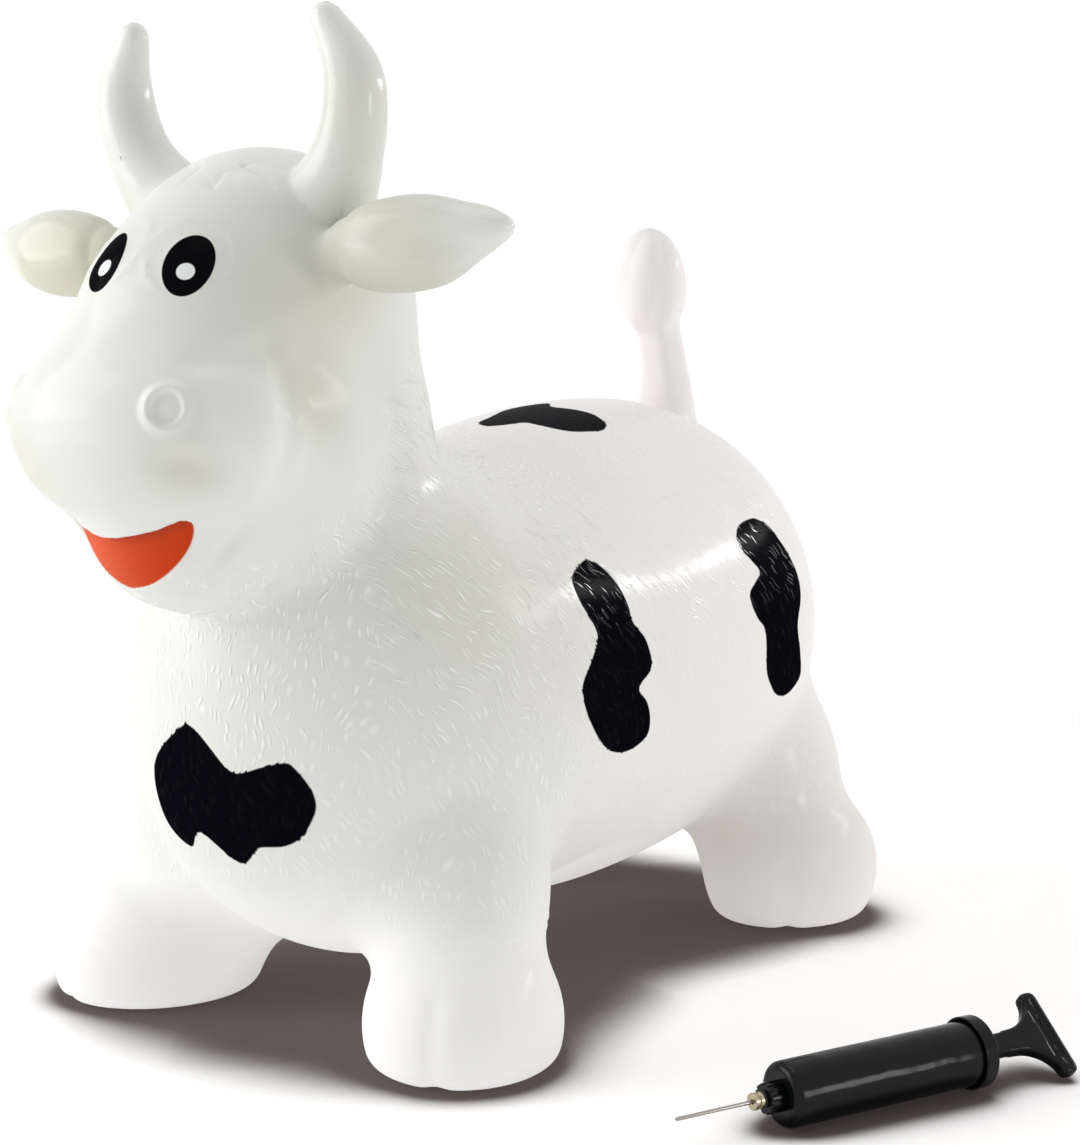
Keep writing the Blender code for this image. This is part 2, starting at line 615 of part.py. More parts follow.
def make_piston(pump):
    """The grooved piston on the rod's stud, and the rubber ring in its groove."""
    outer = BARREL_RADIUS - BARREL_WALL - PISTON_CLEARANCE
    front = piston_front()
    back = piston_back()
    upper = (front + back + PISTON_GROOVE_WIDTH) / 2
    lower = upper - PISTON_GROOVE_WIDTH
    floor = BARREL_RADIUS - BARREL_WALL - RING_THICKNESS - CLEARANCE * 2
    hole = ROD_BLADE + CLEARANCE
    profile = [(hole, back), (outer, back), (outer, upper), (floor, upper), (floor, lower), (outer, lower),
               (outer, front), (hole, front)]
    add_part("piston", turned(profile, ROUND_STEPS, closed=True), "black gloss plastic", pump)
    middle = (BARREL_RADIUS - BARREL_WALL - CLEARANCE - RING_THICKNESS / 2, (upper + lower) / 2)
    ring = arc(middle, RING_THICKNESS / 2, 90, -270, 10)[:-1]
    add_part("piston_ring", turned(ring, ROUND_STEPS, closed=True), "black rubber", pump)


def pump_place():
    """Place and turn of the pump as it lies on the floor, on its collar and the front of its tube."""
    reach = BARREL_LENGTH - COLLAR_LENGTH - BARREL_EDGE
    pitch = math.asin((COLLAR_RADIUS - BARREL_RADIUS) / reach)
    front_height = BARREL_RADIUS - math.sin(pitch) * BARREL_EDGE
    grip_height = front_height + math.sin(pitch) * (BARREL_LENGTH + HANDLE_STANDOFF)
    corner = math.hypot(HANDLE_LENGTH, HANDLE_THICKNESS) / 2
    roll = math.asin((grip_height - CLEARANCE * 2) / corner) - math.atan2(HANDLE_THICKNESS, HANDLE_LENGTH)
    along = Matrix.Rotation(PUMP_HEADING, 4, "Z") @ Matrix.Rotation(math.pi / 2 - pitch, 4, "Y")
    turn = along @ Matrix.Rotation(math.pi / 2 + roll, 4, "Z")
    foot_y = lump_groups()["front"][0][1]
    front_end = (FRONT_SPREAD / 2 + PUMP_STANDOFF, foot_y + PUMP_SETBACK, front_height)
    return Matrix.Translation(front_end) @ turn


def set_on_origin(empties):
    """Move both halves of the set alike, so that the origin is under the middle of its box."""
    bpy.context.view_layer.update()
    corners = [part.matrix_world @ vertex.co for part in PARTS.objects if part.type == "MESH"
               for vertex in part.data.vertices]
    low = [min(corner[axis] for corner in corners) for axis in range(3)]
    high = [max(corner[axis] for corner in corners) for axis in range(3)]
    shift = Vector((-(low[0] + high[0]) / 2, -(low[1] + high[1]) / 2, 0))
    for empty in empties:
        empty.matrix_world = Matrix.Translation(shift) @ empty.matrix_world
    bpy.context.view_layer.update()


clear_scene()
PARTS = new_collection("bouncy_cow_and_pump")
TOOLS = new_collection("shaping_tools")

COW = bpy.data.objects.new("cow_place", None)
PUMP = bpy.data.objects.new("pump_place", None)
for holder in (COW, PUMP):
    TOOLS.objects.link(holder)
PUMP.matrix_world = pump_place()

make_skin(COW)
make_valve(COW)
make_barrel(PUMP)
make_collar(PUMP)
make_nose(PUMP)
make_plunger(PUMP)
make_piston(PUMP)
set_on_origin((COW, PUMP))
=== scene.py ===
"""The looks of a bouncing cow for a small child and of the hand pump that blows it up.

Metres, +Z up.  The cow faces -Y and its left side is towards +X, where the pump lies.
"""
import math

import bpy
import numpy as np
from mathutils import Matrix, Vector


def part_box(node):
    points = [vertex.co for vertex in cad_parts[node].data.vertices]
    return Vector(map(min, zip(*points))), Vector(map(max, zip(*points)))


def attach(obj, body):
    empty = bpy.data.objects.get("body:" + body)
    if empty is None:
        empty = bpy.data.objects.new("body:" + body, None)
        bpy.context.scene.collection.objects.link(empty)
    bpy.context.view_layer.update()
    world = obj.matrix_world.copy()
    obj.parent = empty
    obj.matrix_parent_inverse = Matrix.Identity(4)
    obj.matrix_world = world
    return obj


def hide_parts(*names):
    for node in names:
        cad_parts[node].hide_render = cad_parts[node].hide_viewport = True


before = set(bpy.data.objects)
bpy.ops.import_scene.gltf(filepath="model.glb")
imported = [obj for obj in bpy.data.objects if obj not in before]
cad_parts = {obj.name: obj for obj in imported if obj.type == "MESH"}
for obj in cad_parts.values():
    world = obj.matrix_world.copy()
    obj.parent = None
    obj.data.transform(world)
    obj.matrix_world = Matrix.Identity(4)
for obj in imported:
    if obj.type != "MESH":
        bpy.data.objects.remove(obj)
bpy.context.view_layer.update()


# Camera: a little lower than a standing child, in front of the cow's left shoulder, tilted down slightly.
# The picture is taller than wide, so its height fills the sensor's longer side.
VALVE_BACK = 0.020            # the valve lies this far behind the cow's own zero
CAMERA_FROM_COW = (0.792, -1.069, 0.382)
CAMERA_HEADING = math.radians(35.21)
CAMERA_DROP = math.radians(6.30)
SENSOR_MM = 36
FOCAL_LENGTH_PER_HEIGHT = 2200 / 1145

valve_low, valve_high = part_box("valve")
COW_PLACE = np.array(((valve_low[0] + valve_high[0]) / 2, (valve_low[1] + valve_high[1]) / 2 - VALVE_BACK, 0))
camera = bpy.data.objects.new("camera", bpy.data.cameras.new("camera"))
camera.data.sensor_width = SENSOR_MM
camera.data.lens = SENSOR_MM * FOCAL_LENGTH_PER_HEIGHT
camera.data.clip_end = 60
camera.location = COW_PLACE + CAMERA_FROM_COW
camera.rotation_euler = (math.pi / 2 - CAMERA_DROP, 0, CAMERA_HEADING)
bpy.context.scene.collection.objects.link(camera)
bpy.context.scene.camera = camera
bpy.context.scene.view_settings.view_transform = "Standard"


# Light: soft panels at the cow's right front, a narrow one behind its left rump, weak ones overhead and
# on its left, and an even white room that the gloss and the metal mirror.
ROOM_LIGHT = 0.53
WHITE = (1, 1, 1, 1)
PANELS = {                    # place, width and height, watts and colour
    "panel_right_low": ((-1.15, -1.05, 0.35), (1.0, 0.7), 3.5, WHITE[:3]),
    "panel_right_front": ((-1.35, -1.00, 1.00), (1.2, 1.2), 13.0, WHITE[:3]),
    "panel_left_low": ((1.76, 0.03, 0.29), (0.36, 0.42), 3.6, WHITE[:3]),
    "panel_left_back": ((1.12, 1.60, 0.92), (1.15, 0.12), 9.0, (1.0, 0.985, 0.975)),
    "panel_overhead": ((-0.20, 0.10, 2.20), (1.3, 1.3), 6.0, WHITE[:3]),
}
PANEL_AIM = Vector((-0.08, 0.0, 0.24))


def set_up(made, **settings):
    """The node with these settings; a key that starts with in_ gives an input its value or a node to read."""
    for key, value in settings.items():
        if not key.startswith("in_"):
            setattr(made, key, value)
            continue
        label = key[3:]
        socket = made.inputs[int(label) if label.isdigit() else label.replace("_", " ")]
        if isinstance(value, bpy.types.Node):
            value = value.outputs[0]
        if isinstance(value, bpy.types.NodeSocket):
            made.id_data.links.new(value, socket)
        else:
            socket.default_value = value
    return made


def node(tree, kind, **settings):
    """A new shader node of this kind with its settings."""
    return set_up(tree.nodes.new("ShaderNode" + kind), **settings)


def maths(operation, *values, kind="Math", **settings):
    """A Math node over these values, the first of which is a node or an output."""
    inputs = {f"in_{number}": value for number, value in enumerate(values)}
    return node(values[0].id_data, kind, operation=operation, **inputs, **settings)


def seen_directly(tree):
    """1 for what the camera sees by itself or in something glossy."""
    rays = node(tree, "LightPath").outputs
    return maths("MAXIMUM", rays["Is Camera Ray"], rays["Is Glossy Ray"])


for name, (place, size, power, colour) in PANELS.items():
    lamp = bpy.data.lights.new(name, "AREA")
    lamp.shape = "RECTANGLE"
    lamp.size, lamp.size_y = size
    lamp.energy = power
    lamp.color = colour
    panel = bpy.data.objects.new(name, lamp)
    panel.location = place
    panel.rotation_euler = (PANEL_AIM - Vector(place)).to_track_quat("-Z", "Y").to_euler()
    bpy.context.scene.collection.objects.link(panel)

room = bpy.data.worlds.new("white_room")
bpy.context.scene.world = room
room.use_nodes = True
tree = room.node_tree
through = node(tree, "LightPath").outputs["Is Transmission Ray"]
room_mix = node(tree, "MixShader", in_0=maths("MAXIMUM", seen_directly(tree), through),
                in_1=set_up(tree.nodes["Background"], in_Color=WHITE, in_Strength=ROOM_LIGHT),
                in_2=node(tree, "Background", in_Color=WHITE, in_Strength=1.0))
set_up(tree.nodes["World Output"], in_Surface=room_mix)


# Floor: a plain pale studio floor.  It keeps the soft shadow under the cow and the pump, darkest where
# little open air is left above it, and turns to the room's white further out.
FLOOR_SIZE = 40.0
FLOOR_DROP = 0.0004
FLOOR_COLOUR, FLOOR_SHADE = (0.98, 0.97, 0.965, 1), (0.10, 0.085, 0.08, 1)
FLOOR_GLOW, FLOOR_BOUNCE, FLOOR_GREY = 0.22, 0.26, (0.8, 0.8, 0.8, 1)
SHADE_REACH, SHADE_OPENNESS = 0.115, (0.56, 0.90)
SHADOW_REACH = (0.45, 1.10)


def between(source, low, high, start=0.0, end=1.0):
    """A soft step of a value: start below low, end above high."""
    return node(source.id_data, "MapRange", interpolation_type="SMOOTHSTEP", in_Value=source,
                in_From_Min=low, in_From_Max=high, in_To_Min=start, in_To_Max=end)


def painted(below, colour, mask):
    """Colour over what is below it, where the mask is 1."""
    return node(mask.id_data, "Mix", data_type="RGBA", in_0=mask, in_6=below, in_7=colour).outputs[2]


floor_mesh = bpy.data.meshes.new("floor")
floor_mesh.from_pydata([(x * FLOOR_SIZE / 2, y * FLOOR_SIZE / 2, -FLOOR_DROP)
                        for x, y in ((-1, -1), (1, -1), (1, 1), (-1, 1))], [], [(0, 1, 2, 3)])
floor = bpy.data.objects.new("floor", floor_mesh)
bpy.context.scene.collection.objects.link(floor)

floor_finish = bpy.data.materials.new("pale_floor")
floor_finish.use_nodes = True
tree = floor_finish.node_tree
tree.nodes.remove(tree.nodes["Principled BSDF"])
open_air = node(tree, "AmbientOcclusion", samples=24, in_Distance=SHADE_REACH)
shaded = painted(FLOOR_SHADE, FLOOR_COLOUR, between(open_air.outputs["AO"], *SHADE_OPENNESS))
lit = node(tree, "AddShader", in_0=node(tree, "BsdfDiffuse", in_Color=shaded),
           in_1=node(tree, "Emission", in_Color=shaded, in_Strength=FLOOR_GLOW))
away = maths("LENGTH", node(tree, "TexCoord").outputs["Object"], kind="VectorMath")
near_to_far = node(tree, "MixShader", in_0=between(away.outputs["Value"], *SHADOW_REACH), in_1=lit,
                   in_2=node(tree, "Emission", in_Strength=1.0))
returned = node(tree, "AddShader", in_0=node(tree, "BsdfDiffuse", in_Color=FLOOR_GREY),
                in_1=node(tree, "Emission", in_Strength=FLOOR_BOUNCE))
set_up(tree.nodes["Material Output"],
       in_Surface=node(tree, "MixShader", in_0=seen_directly(tree), in_1=returned, in_2=near_to_far))
floor_mesh.materials.append(floor_finish)


# Skin, form: one hollow moulding of soft pearly vinyl, blown up until it stands firm on four stub legs.
# It swells like soft lumps that melt together, so each lump below is a round form of body, head or leg.
MM = 0.001
LUMPS = (    # middle and half sizes in mm, turns in degrees; one off the middle has a twin
    ((0, 118.8, 192.6), (138.2, 149, 145)),  # rump
    ((0, 21.7, 183), (127, 150, 146)),  # waist
    ((0, -111, 171.7), (131, 142.5, 142.3)),  # chest
    ((0, -146.9, 235.3), (97.5, 83.6, 89.6)),  # breast
    ((0, -170.5, 314.5), (78.7, 60.4, 121.8), (3, 0, 0)),  # neck
    ((0, -198, 404.6), (78.6, 75.4, 72.1)),  # skull
    ((0, -238, 375.5), (72, 71.3, 70.3)),  # bridge of the nose
    ((0, -278.6, 333), (88.6, 58.3, 54.6), (-15, 0, 0)),  # muzzle
    ((0, -258, 282), (53.7, 49.2, 43.6), (-15, 0, 0)),  # chin
    ((42.1, -227.9, 320.1), (39.9, 50.1, 59.9)),  # cheek
    ((118, -226, 423.3), (47.8, 19.6, 23.6), (0, -4, 4)),  # ear
    ((143.8, -222.5, 428.5), (33.8, 13.6, 14.2), (0, -4, 4)),  # tip of the ear
    ((86.2, -149.3, 81.2), (53, 48.1, 66.3)),  # front leg
    ((111.2, -174, 21), (53, 60.4, 54.8), (0, 0, 30)),  # front foot
    ((91.3, 178.2, 87.4), (50.4, 50.3, 69)),  # hind leg
    ((112, 178.6, 34), (50.2, 58.7, 56.3), (0, 0, -30)),  # hind foot
    ((0, 182, 413), (22, 22, 36), (8, 0, 0)),  # tuft of the tail
)
HORN_LINE = ((47.6, -205.7, 438.6), (72.1, -213.6, 472.1), (79.5, -218.5, 506), (66.5, -224, 536))
HORN_RADII = (24, 17.4, 15, 7.6)
HORN_BEADS = 40
TAIL_LINE = ((0, 204, 309.4), (0, 199.1, 355), (0, 189.1, 390))
TAIL_RADII = (20.94, 15.18, 13.11)
TAIL_BEADS = 20
PULL_LEVEL = 0.075            # share of a lump's greatest pull at which the skin lies
SOLE_ROUNDING = 9 * MM        # over which the foot curls in towards the floor
POCKETS = ((9.3 * MM, 42.5 * MM), (5.8 * MM, 56.3 * MM))    # radius and top of the valve's holes
POCKET_ROUNDING = 1.2 * MM
SKIN_LOW, SKIN_HIGH = np.array((-190, -345, -9)) * MM, np.array((190, 280, 560)) * MM
BODY_GRAIN = 6 * MM           # spacing of the points on the body; the head has half, the face a quarter


def axis_turn(axis, angle):
    """Matrix of a turn about one of the three axes."""
    c, s = math.cos(angle), math.sin(angle)
    i, j = [k for k in range(3) if k != axis]
    if axis == 1:
        s = -s
    made = np.eye(3)
    made[i, i], made[i, j], made[j, i], made[j, j] = c, -s, s, c
    return made


def turned_axes(turns):
    """Matrix whose columns are a lump's own axes: a tilt about X, a roll about Y, then a turn about Z."""
    x, y, z = np.radians(turns)
    return axis_turn(2, z) @ axis_turn(1, y) @ axis_turn(0, x)


def curve_between(a, b, c, d, t):
    """Point at the share t of the way from b to c on the Catmull-Rom curve through a, b, c and d."""
    return (2 * b + (c - a) * t + (2 * a - 5 * b + 4 * c - d) * t ** 2 + (3 * b - a - 3 * c + d) * t ** 3) / 2


def beads_along(line, radii, count, sides):
    """Round beads on a smooth curve through the line's points.

    Beads that lie closer than they are wide add up, so each bead's reach is worked out in turns from the
    thickness that is wanted and the share of it that its neighbours add.
    """
    line = np.array(line, float) * MM
    ends = np.vstack([2 * line[0] - line[1], line, 2 * line[-1] - line[-2]])
    along = np.linspace(0, len(line) - 1, count)
    span = np.minimum(along.astype(int), len(line) - 2)
    t = (along - span)[:, None]
    a, b, c, d = (ends[span + i] for i in range(4))
    places = curve_between(a, b, c, d, t)
    wanted = np.interp(along, range(len(line)), np.array(radii) * MM)
    before, after = np.maximum(np.arange(count) - 1, 0), np.minimum(np.arange(count) + 1, count - 1)
    spacing = np.linalg.norm(places[after] - places[before], axis=1) / (after - before)
    reach = wanted * 1.5
    for _ in range(20):
        share = (PULL_LEVEL * spacing * 35 / (32 * reach)) ** (1 / 3.5)
        reach = wanted / np.sqrt(1 - np.minimum(share, 0.98))
    reach = np.minimum(reach, wanted / math.sqrt(1 - PULL_LEVEL ** (1 / 3)))
    return [(place * (side, 1, 1), np.full(3, size), np.eye(3)) for side in sides
            for place, size in zip(places, reach)]


def all_lumps():
    """Middle, reach along its own axes, and axes of every lump and bead of the skin."""
    grow = 1 / math.sqrt(1 - PULL_LEVEL ** (1 / 3))
    made = []
    for middle, halves, *turns in LUMPS:
        middle, reach = np.array(middle) * MM, np.array(halves) * MM * grow
        turns = np.array(turns[0] if turns else (0, 0, 0))
        made.append((middle, reach, turned_axes(turns)))
        if middle[0]:
            made.append((middle * (-1, 1, 1), reach, turned_axes(turns * (1, -1, -1))))
    made += beads_along(HORN_LINE, HORN_RADII, HORN_BEADS, (1, -1))
    return made + beads_along(TAIL_LINE, TAIL_RADII, TAIL_BEADS, (1,))


SKIN_LUMPS = all_lumps()


def rounded_least(a, b, width):
    """The smaller of two depths with the edge between them rounded, and the share that a has in it."""
    share = np.clip(0.5 + 0.5 * (b - a) / width, 0, 1)
    return b + (a - b) * share - width * share * (1 - share), share[:, None]


def skin_depth(points):
    """How deep points lie inside the skin, and which way is inwards.

    Each lump pulls with (1 - r^2)^3, r being the distance in its own reaches.  The skin lies where the sum
    falls to PULL_LEVEL; the excess over it, divided by its slope, is nearly a distance there.  The floor
    and the valve's pocket are then taken off with rounded edges.
    """
    pull = np.zeros(len(points))
    slope = np.zeros((len(points), 3))
    for middle, reach, axes in SKIN_LUMPS:
        half = np.sqrt(((axes * reach) ** 2).sum(1))
        near = np.flatnonzero((np.abs(points - middle) < half).all(1))
        own = (points[near] - middle) @ axes / reach
        left = np.clip(1 - (own ** 2).sum(1), 0, None)
        pull[near] += left ** 3
        slope[near] -= (6 * left ** 2)[:, None] * ((own / reach) @ axes.T)
    steep = np.linalg.norm(slope, axis=1) + 1e-9
    depth = np.clip((pull - PULL_LEVEL) / steep, -0.02, 0.02)
    inward = slope / steep[:, None]
    up = np.zeros_like(inward) + (0, 0, 1)
    depth, share = rounded_least(depth, points[:, 2], SOLE_ROUNDING)
    inward = up + (inward - up) * share
    across = points * (1, 1, 0) - (0, VALVE_BACK, 0)
    radius = np.linalg.norm(across, axis=1) + 1e-9
    outwards = across / radius[:, None]
    for size, top in POCKETS:
        beside, above = radius - size, points[:, 2] - top
        side = beside > above
        outside = np.where(side, beside, above)
        away = np.where(side[:, None], outwards, up)
        depth, share = rounded_least(depth, outside, POCKET_ROUNDING)
        inward = away + (inward - away) * share
    return depth, inward


def surface_net(depth_of, low, high, step):
    """Points and triangles of the surface where depth_of is zero, by surface nets.

    A grid of points fills the box.  Each cell that the surface passes through gets a point at the mean of
    the places where it crosses the cell's edges, and each crossed grid edge a square between the four
    cells round it, wound so that it faces out.
    """
    axes = [np.arange(a, b + step, step) for a, b in zip(low, high)]
    grid = np.stack(np.meshgrid(*axes, indexing="ij"), -1)
    depth = depth_of(grid.reshape(-1, 3))[0].reshape(grid.shape[:3])
    cells = tuple(np.array(depth.shape) - 1)
    total = np.zeros((math.prod(cells), 3))
    count = np.zeros(math.prod(cells))
    squares = []
    for axis in range(3):
        here = [slice(None)] * 3
        there = [slice(None)] * 3
        here[axis], there[axis] = slice(0, -1), slice(1, None)
        a, b = depth[tuple(here)], depth[tuple(there)]
        crossed = (a > 0) != (b > 0)
        place = grid[tuple(here)][crossed]
        place[:, axis] += step * a[crossed] / (a[crossed] - b[crossed])
        cell = np.argwhere(crossed)
        others = [i for i in range(3) if i != axis]
        corners = []
        for back in ((0, 0), (1, 0), (1, 1), (0, 1)):
            near = cell.copy()
            near[:, others] -= back
            corners.append(np.ravel_multi_index(near.T, cells))
            total += np.stack([np.bincount(corners[-1], place[:, i], len(total)) for i in range(3)], 1)
            count += np.bincount(corners[-1], minlength=len(count))
        square = np.stack(corners, 1)
        leaving = (a[crossed] > 0) == (axis != 1)
        square[~leaving] = square[~leaving][:, ::-1]
        squares.append(square)
    squares = np.concatenate(squares)
    used = np.flatnonzero(count)
    renumber = np.zeros(len(count), int)
    renumber[used] = np.arange(len(used))
    points = total[used] / count[used][:, None]
    squares = renumber[squares]
    one, two = (np.linalg.norm(points[squares[:, i]] - points[squares[:, i + 2]], axis=1) for i in (0, 1))
    first = np.where((one < two)[:, None], squares[:, [0, 1, 2]], squares[:, [0, 1, 3]])
    second = np.where((one < two)[:, None], squares[:, [0, 2, 3]], squares[:, [1, 2, 3]])
    return points, np.concatenate([first, second])


def settled(points, depth_of, rounds=4):
    """The points moved on to the surface: each step goes the point's depth along the way out."""
    for _ in range(rounds):
        depth, inward = depth_of(points)
        points = points - inward * (depth / np.maximum((inward ** 2).sum(1), 0.2))[:, None]
    return points


def cut_finer(points, triangles, chosen):
    """Halve every edge whose two ends are chosen, and cut each triangle into two, three or four to match."""
    ends = np.sort(triangles[:, [[0, 1], [1, 2], [2, 0]]], axis=2)
    keys, which = np.unique(ends[..., 0] * len(points) + ends[..., 1], return_inverse=True)
    edges = np.stack([keys // len(points), keys % len(points)], 1)
    halved = chosen[edges].all(1)
    number = np.where(halved, len(points) + np.cumsum(halved) - 1, -1)
    middle = number[which].reshape(-1, 3)
    cuts = (middle >= 0).sum(1)
    made = [triangles[cuts == 0]]
    t, m = triangles[cuts == 3].T, middle[cuts == 3].T
    made += [np.stack(rows, 1) for rows in ((t[0], m[0], m[2]), (m[0], t[1], m[1]), (m[2], m[1], t[2]), m)]
    for sides, first in ((1, lambda m: (m >= 0).argmax(1)), (2, lambda m: ((m < 0).argmax(1) + 1) % 3)):
        t, m = triangles[cuts == sides], middle[cuts == sides]
        order = (first(m)[:, None] + np.arange(3)) % 3
        t, m = np.take_along_axis(t, order, 1).T, np.take_along_axis(m, order, 1).T
        if sides == 1:
            rows = ((t[0], m[0], t[2]), (m[0], t[1], t[2]))
        else:
            rows = ((m[0], t[1], m[1]), (t[0], m[0], m[1]), (t[0], m[1], t[2]))
        made += [np.stack(row, 1) for row in rows]
    return np.concatenate([points, points[edges[halved]].mean(1)]), np.concatenate(made)


def mesh_of(name, points, triangles):
    """A mesh from arrays of points and triangles, shaded smooth."""
    mesh = bpy.data.meshes.new(name)
    mesh.vertices.add(len(points))
    mesh.vertices.foreach_set("co", points.astype(np.float32).ravel())
    mesh.loops.add(triangles.size)
    mesh.loops.foreach_set("vertex_index", triangles.astype(np.int32).ravel())
    mesh.polygons.add(len(triangles))
    mesh.polygons.foreach_set("loop_start", np.arange(0, triangles.size, 3, dtype=np.int32))
    mesh.update(calc_edges=True)
    mesh.shade_smooth()
    return mesh


# Skin, face and masks: the same mould gives the cow its lids, nostrils, mouth and hooves in low relief.
# Eyes, mouth and dark patches are sprayed on through masks, so each is a flat outline seen from one side.
EYE_BULGE, EYE_BALL = 1.0, (15, 20)     # mm, as all sizes of the face
LID_HALVES, LID_RISE, LID_HEIGHT, LID_WIDTH, LID_SPAN = (22, 24.5), 5, 0.75, 1.5, (-20, -6)
FACE_REACH = 18               # how far in front of and behind the skin a detail of the face still counts
MASK_REACH = 9.0              # how far from its edge a mask is measured
DOT_RADIUS = 4.6
EYES = (                      # middle, way it faces, half sizes, lean outwards, middle of the white dot
    ((32.9, -288.7, 413.9), (0.45, -0.72, 0.53), (12.6, 17.8), math.radians(-12), (33.3, -290.9, 409.6)),
    ((-18.8, -294.0, 416.9), (-0.20, -0.80, 0.57), (13.0, 19.0), math.radians(24), (-15.2, -297.2, 412.0)),
)
NOSTRIL_MIDDLE, NOSTRIL_FACING = (51.7, -324.2, 345.4), (0.44, -0.87, 0.24)
FAR_NOSTRIL_MIDDLE, FAR_NOSTRIL_FACING = (-57.5, -307.0, 345.4), (-0.66, -0.72, 0.20)
NOSTRIL_FLANGE, NOSTRIL_FLANGE_HEIGHT = (15.5, 11.5), 1.1
NOSTRIL_RING, NOSTRIL_WIDTH, NOSTRIL_HEIGHT, NOSTRIL_DISC, NOSTRIL_DISH = 9.6, 1.9, 1.3, 8.4, 1.6
DIMPLE_MIDDLE, DIMPLE_HALVES, DIMPLE_DEPTH = (57.5, -319.0, 318.5), (14, 7), 3.2
MOUTH_MIDDLE, MOUTH_FACING = (0, -300, 275), (0, -0.74, -0.66)
MOUTH_OUTLINE = ((-42, 12), (-40, 4), (-33, -7), (-22, -17.5), (-10, -22), (0, -20.7), (13, -16.8),
                 (26.5, -10.3), (35.5, -3.8), (41, 4), (42, 11), (37.5, 12.8), (25, 11), (10, 10.1),
                 (-10, 8), (-26, 9), (-37, 13))
MOUTH_STEP, MOUTH_HOLLOW, MOUTH_HOLLOW_REACH = 1.0, 3.0, 9.0
CHEEK_FOLD = ((56.4, -306.1, 367.4), (64.5, -290.9, 370.5), (69.4, -271.6, 372.3), (74.1, -268.4, 364.6),
              (82.5, -272.2, 351.9), (88.0, -277.5, 335.5), (87.0, -277.8, 322.7), (81.1, -278.2, 310.9))
FOLD_DEPTH, FOLD_WIDTH = 3.2, 8.5
THROAT_FOLD = ((26.4, -287.0, 253.5), (37.1, -284.0, 265.0), (46.2, -280.0, 276.0), (53.6, -275.0, 287.0))
THROAT_DEPTH, THROAT_WIDTH = 2.6, 4.0
FETLOCKS = ((69.5, 1.5, 0.6), (64.5, 1.3, 0.45))       # height above the floor, width and rise of the ridge
FEET = ((111, -174, (0.37, -0.93)), (112, 178.6, (0.45, -0.89)))
CLEFT_WIDTH, CLEFT_DEPTH, CLEFT_TOP = 5.5, 1.5, 56.0
EAR_COLLAR, EAR_COLLAR_DEPTH, EAR_HOLLOW, EAR_POINT = 86.0, 1.2, 2.0, 1.2
TAIL_AXIS = ((309, 204), (355, 199), (390, 189), (450, 177))
TAIL_PLEATS, TAIL_PLEAT_DEPTH, TUFT_LOCKS, TUFT_LOCK_DEPTH = 5, 0.5, 6, 1.3
FOREHEAD_PIT, FOREHEAD_PIT_DEPTH, FOREHEAD_PIT_WIDTH = (12.7, -252.3, 455.1), 1.2, 3.2
FORELOCKS = (
    ((17, -254, 452.8), (14.5, -243.3, 460.9), (19.9, -235, 464.7), (32.8, -235.2, 459.7),
     (41.3, -237.2, 453.3)),
    ((19.9, -235, 464.7), (27, -224.1, 467.5), (38, -222, 463)),
    ((-6, -252, 456), (-4, -240, 463), (-14, -230, 466), (-26, -232, 462), (-34, -236, 456)),
)
LOCK_DEPTH, LOCK_WIDTH = 0.9, 1.8
PATCHES = (                   # axis it is seen along, side of the cow, outline in mm across and up
    (1, -1, ((-13, 177), (-41, 153), (-43, 120), (-24, 107), (-10, 118), (11, 103), (23, 110), (28, 114),
             (42, 116), (53, 123), (62, 138), (61, 150), (54, 161), (49, 163), (37, 160), (25, 156),
             (18, 158), (13, 163), (6, 170), (0, 175), (-6, 178))),
    (0, 1, ((-53, 254), (-72, 246), (-73, 233), (-66, 220), (-65, 212), (-75, 202), (-88, 191), (-89, 182),
            (-83, 170), (-69, 156), (-54, 147), (-38, 143), (-23, 144), (-12, 150), (-12, 161), (-17, 171),
            (-25, 178), (-22, 182), (-14, 187), (-12, 194), (-16, 207), (-25, 217), (-26, 226), (-29, 236),
            (-34, 244), (-40, 250), (-46, 253))),
    (0, 1, ((111, 267), (94, 264), (86, 257), (87, 249), (94, 241), (99, 235), (92, 230), (84, 224),
            (84, 216), (89, 207), (96, 199), (99, 175), (108, 163), (118, 156), (132, 154), (145, 158),
            (153, 165), (146, 181), (140, 198), (149, 215), (150, 227), (144, 240), (136, 251), (127, 262),
            (120, 265))),
    (2, 1, ((-3, -7), (-5, 8), (-11, 36), (0, 61), (12, 50), (25, 55), (36, 58), (45, 56), (51, 52),
            (55, 42), (52, 29), (47, 18), (39, 11), (30, 7), (23, 4), (16, -8), (7, -14))),
    (0, -1, ((-150, 205), (-138, 216), (-120, 210), (-112, 190), (-118, 168), (-110, 150), (-122, 138),
             (-140, 142), (-152, 160), (-146, 182))),
    (0, -1, ((20, 262), (42, 256), (52, 238), (44, 220), (58, 200), (54, 178), (34, 168), (16, 178),
             (12, 200), (22, 216), (8, 236), (8, 252))),
    (0, -1, ((150, 240), (168, 228), (172, 206), (160, 190), (166, 168), (150, 156), (134, 166),
             (130, 188), (138, 206), (132, 226))),
)


def facing(points, middle, way):
    """Coordinates across, up and out of points as seen when looking straight at a place on the skin."""
    out = np.array(way) / np.linalg.norm(way)
    across = np.cross((0, 0, 1), out)
    across /= np.linalg.norm(across)
    return (points - middle) @ np.stack([across, np.cross(out, across), out], 1)


def inside_oval(across, up, halves, tilt=0.0):
    """Signed distance into an oval, close to its edge."""
    a = (across * math.cos(tilt) + up * math.sin(tilt)) / halves[0]
    b = (up * math.cos(tilt) - across * math.sin(tilt)) / halves[1]
    size = np.hypot(a, b) + 1e-6
    return (1 - size) * size / np.hypot(a / halves[0], b / halves[1])


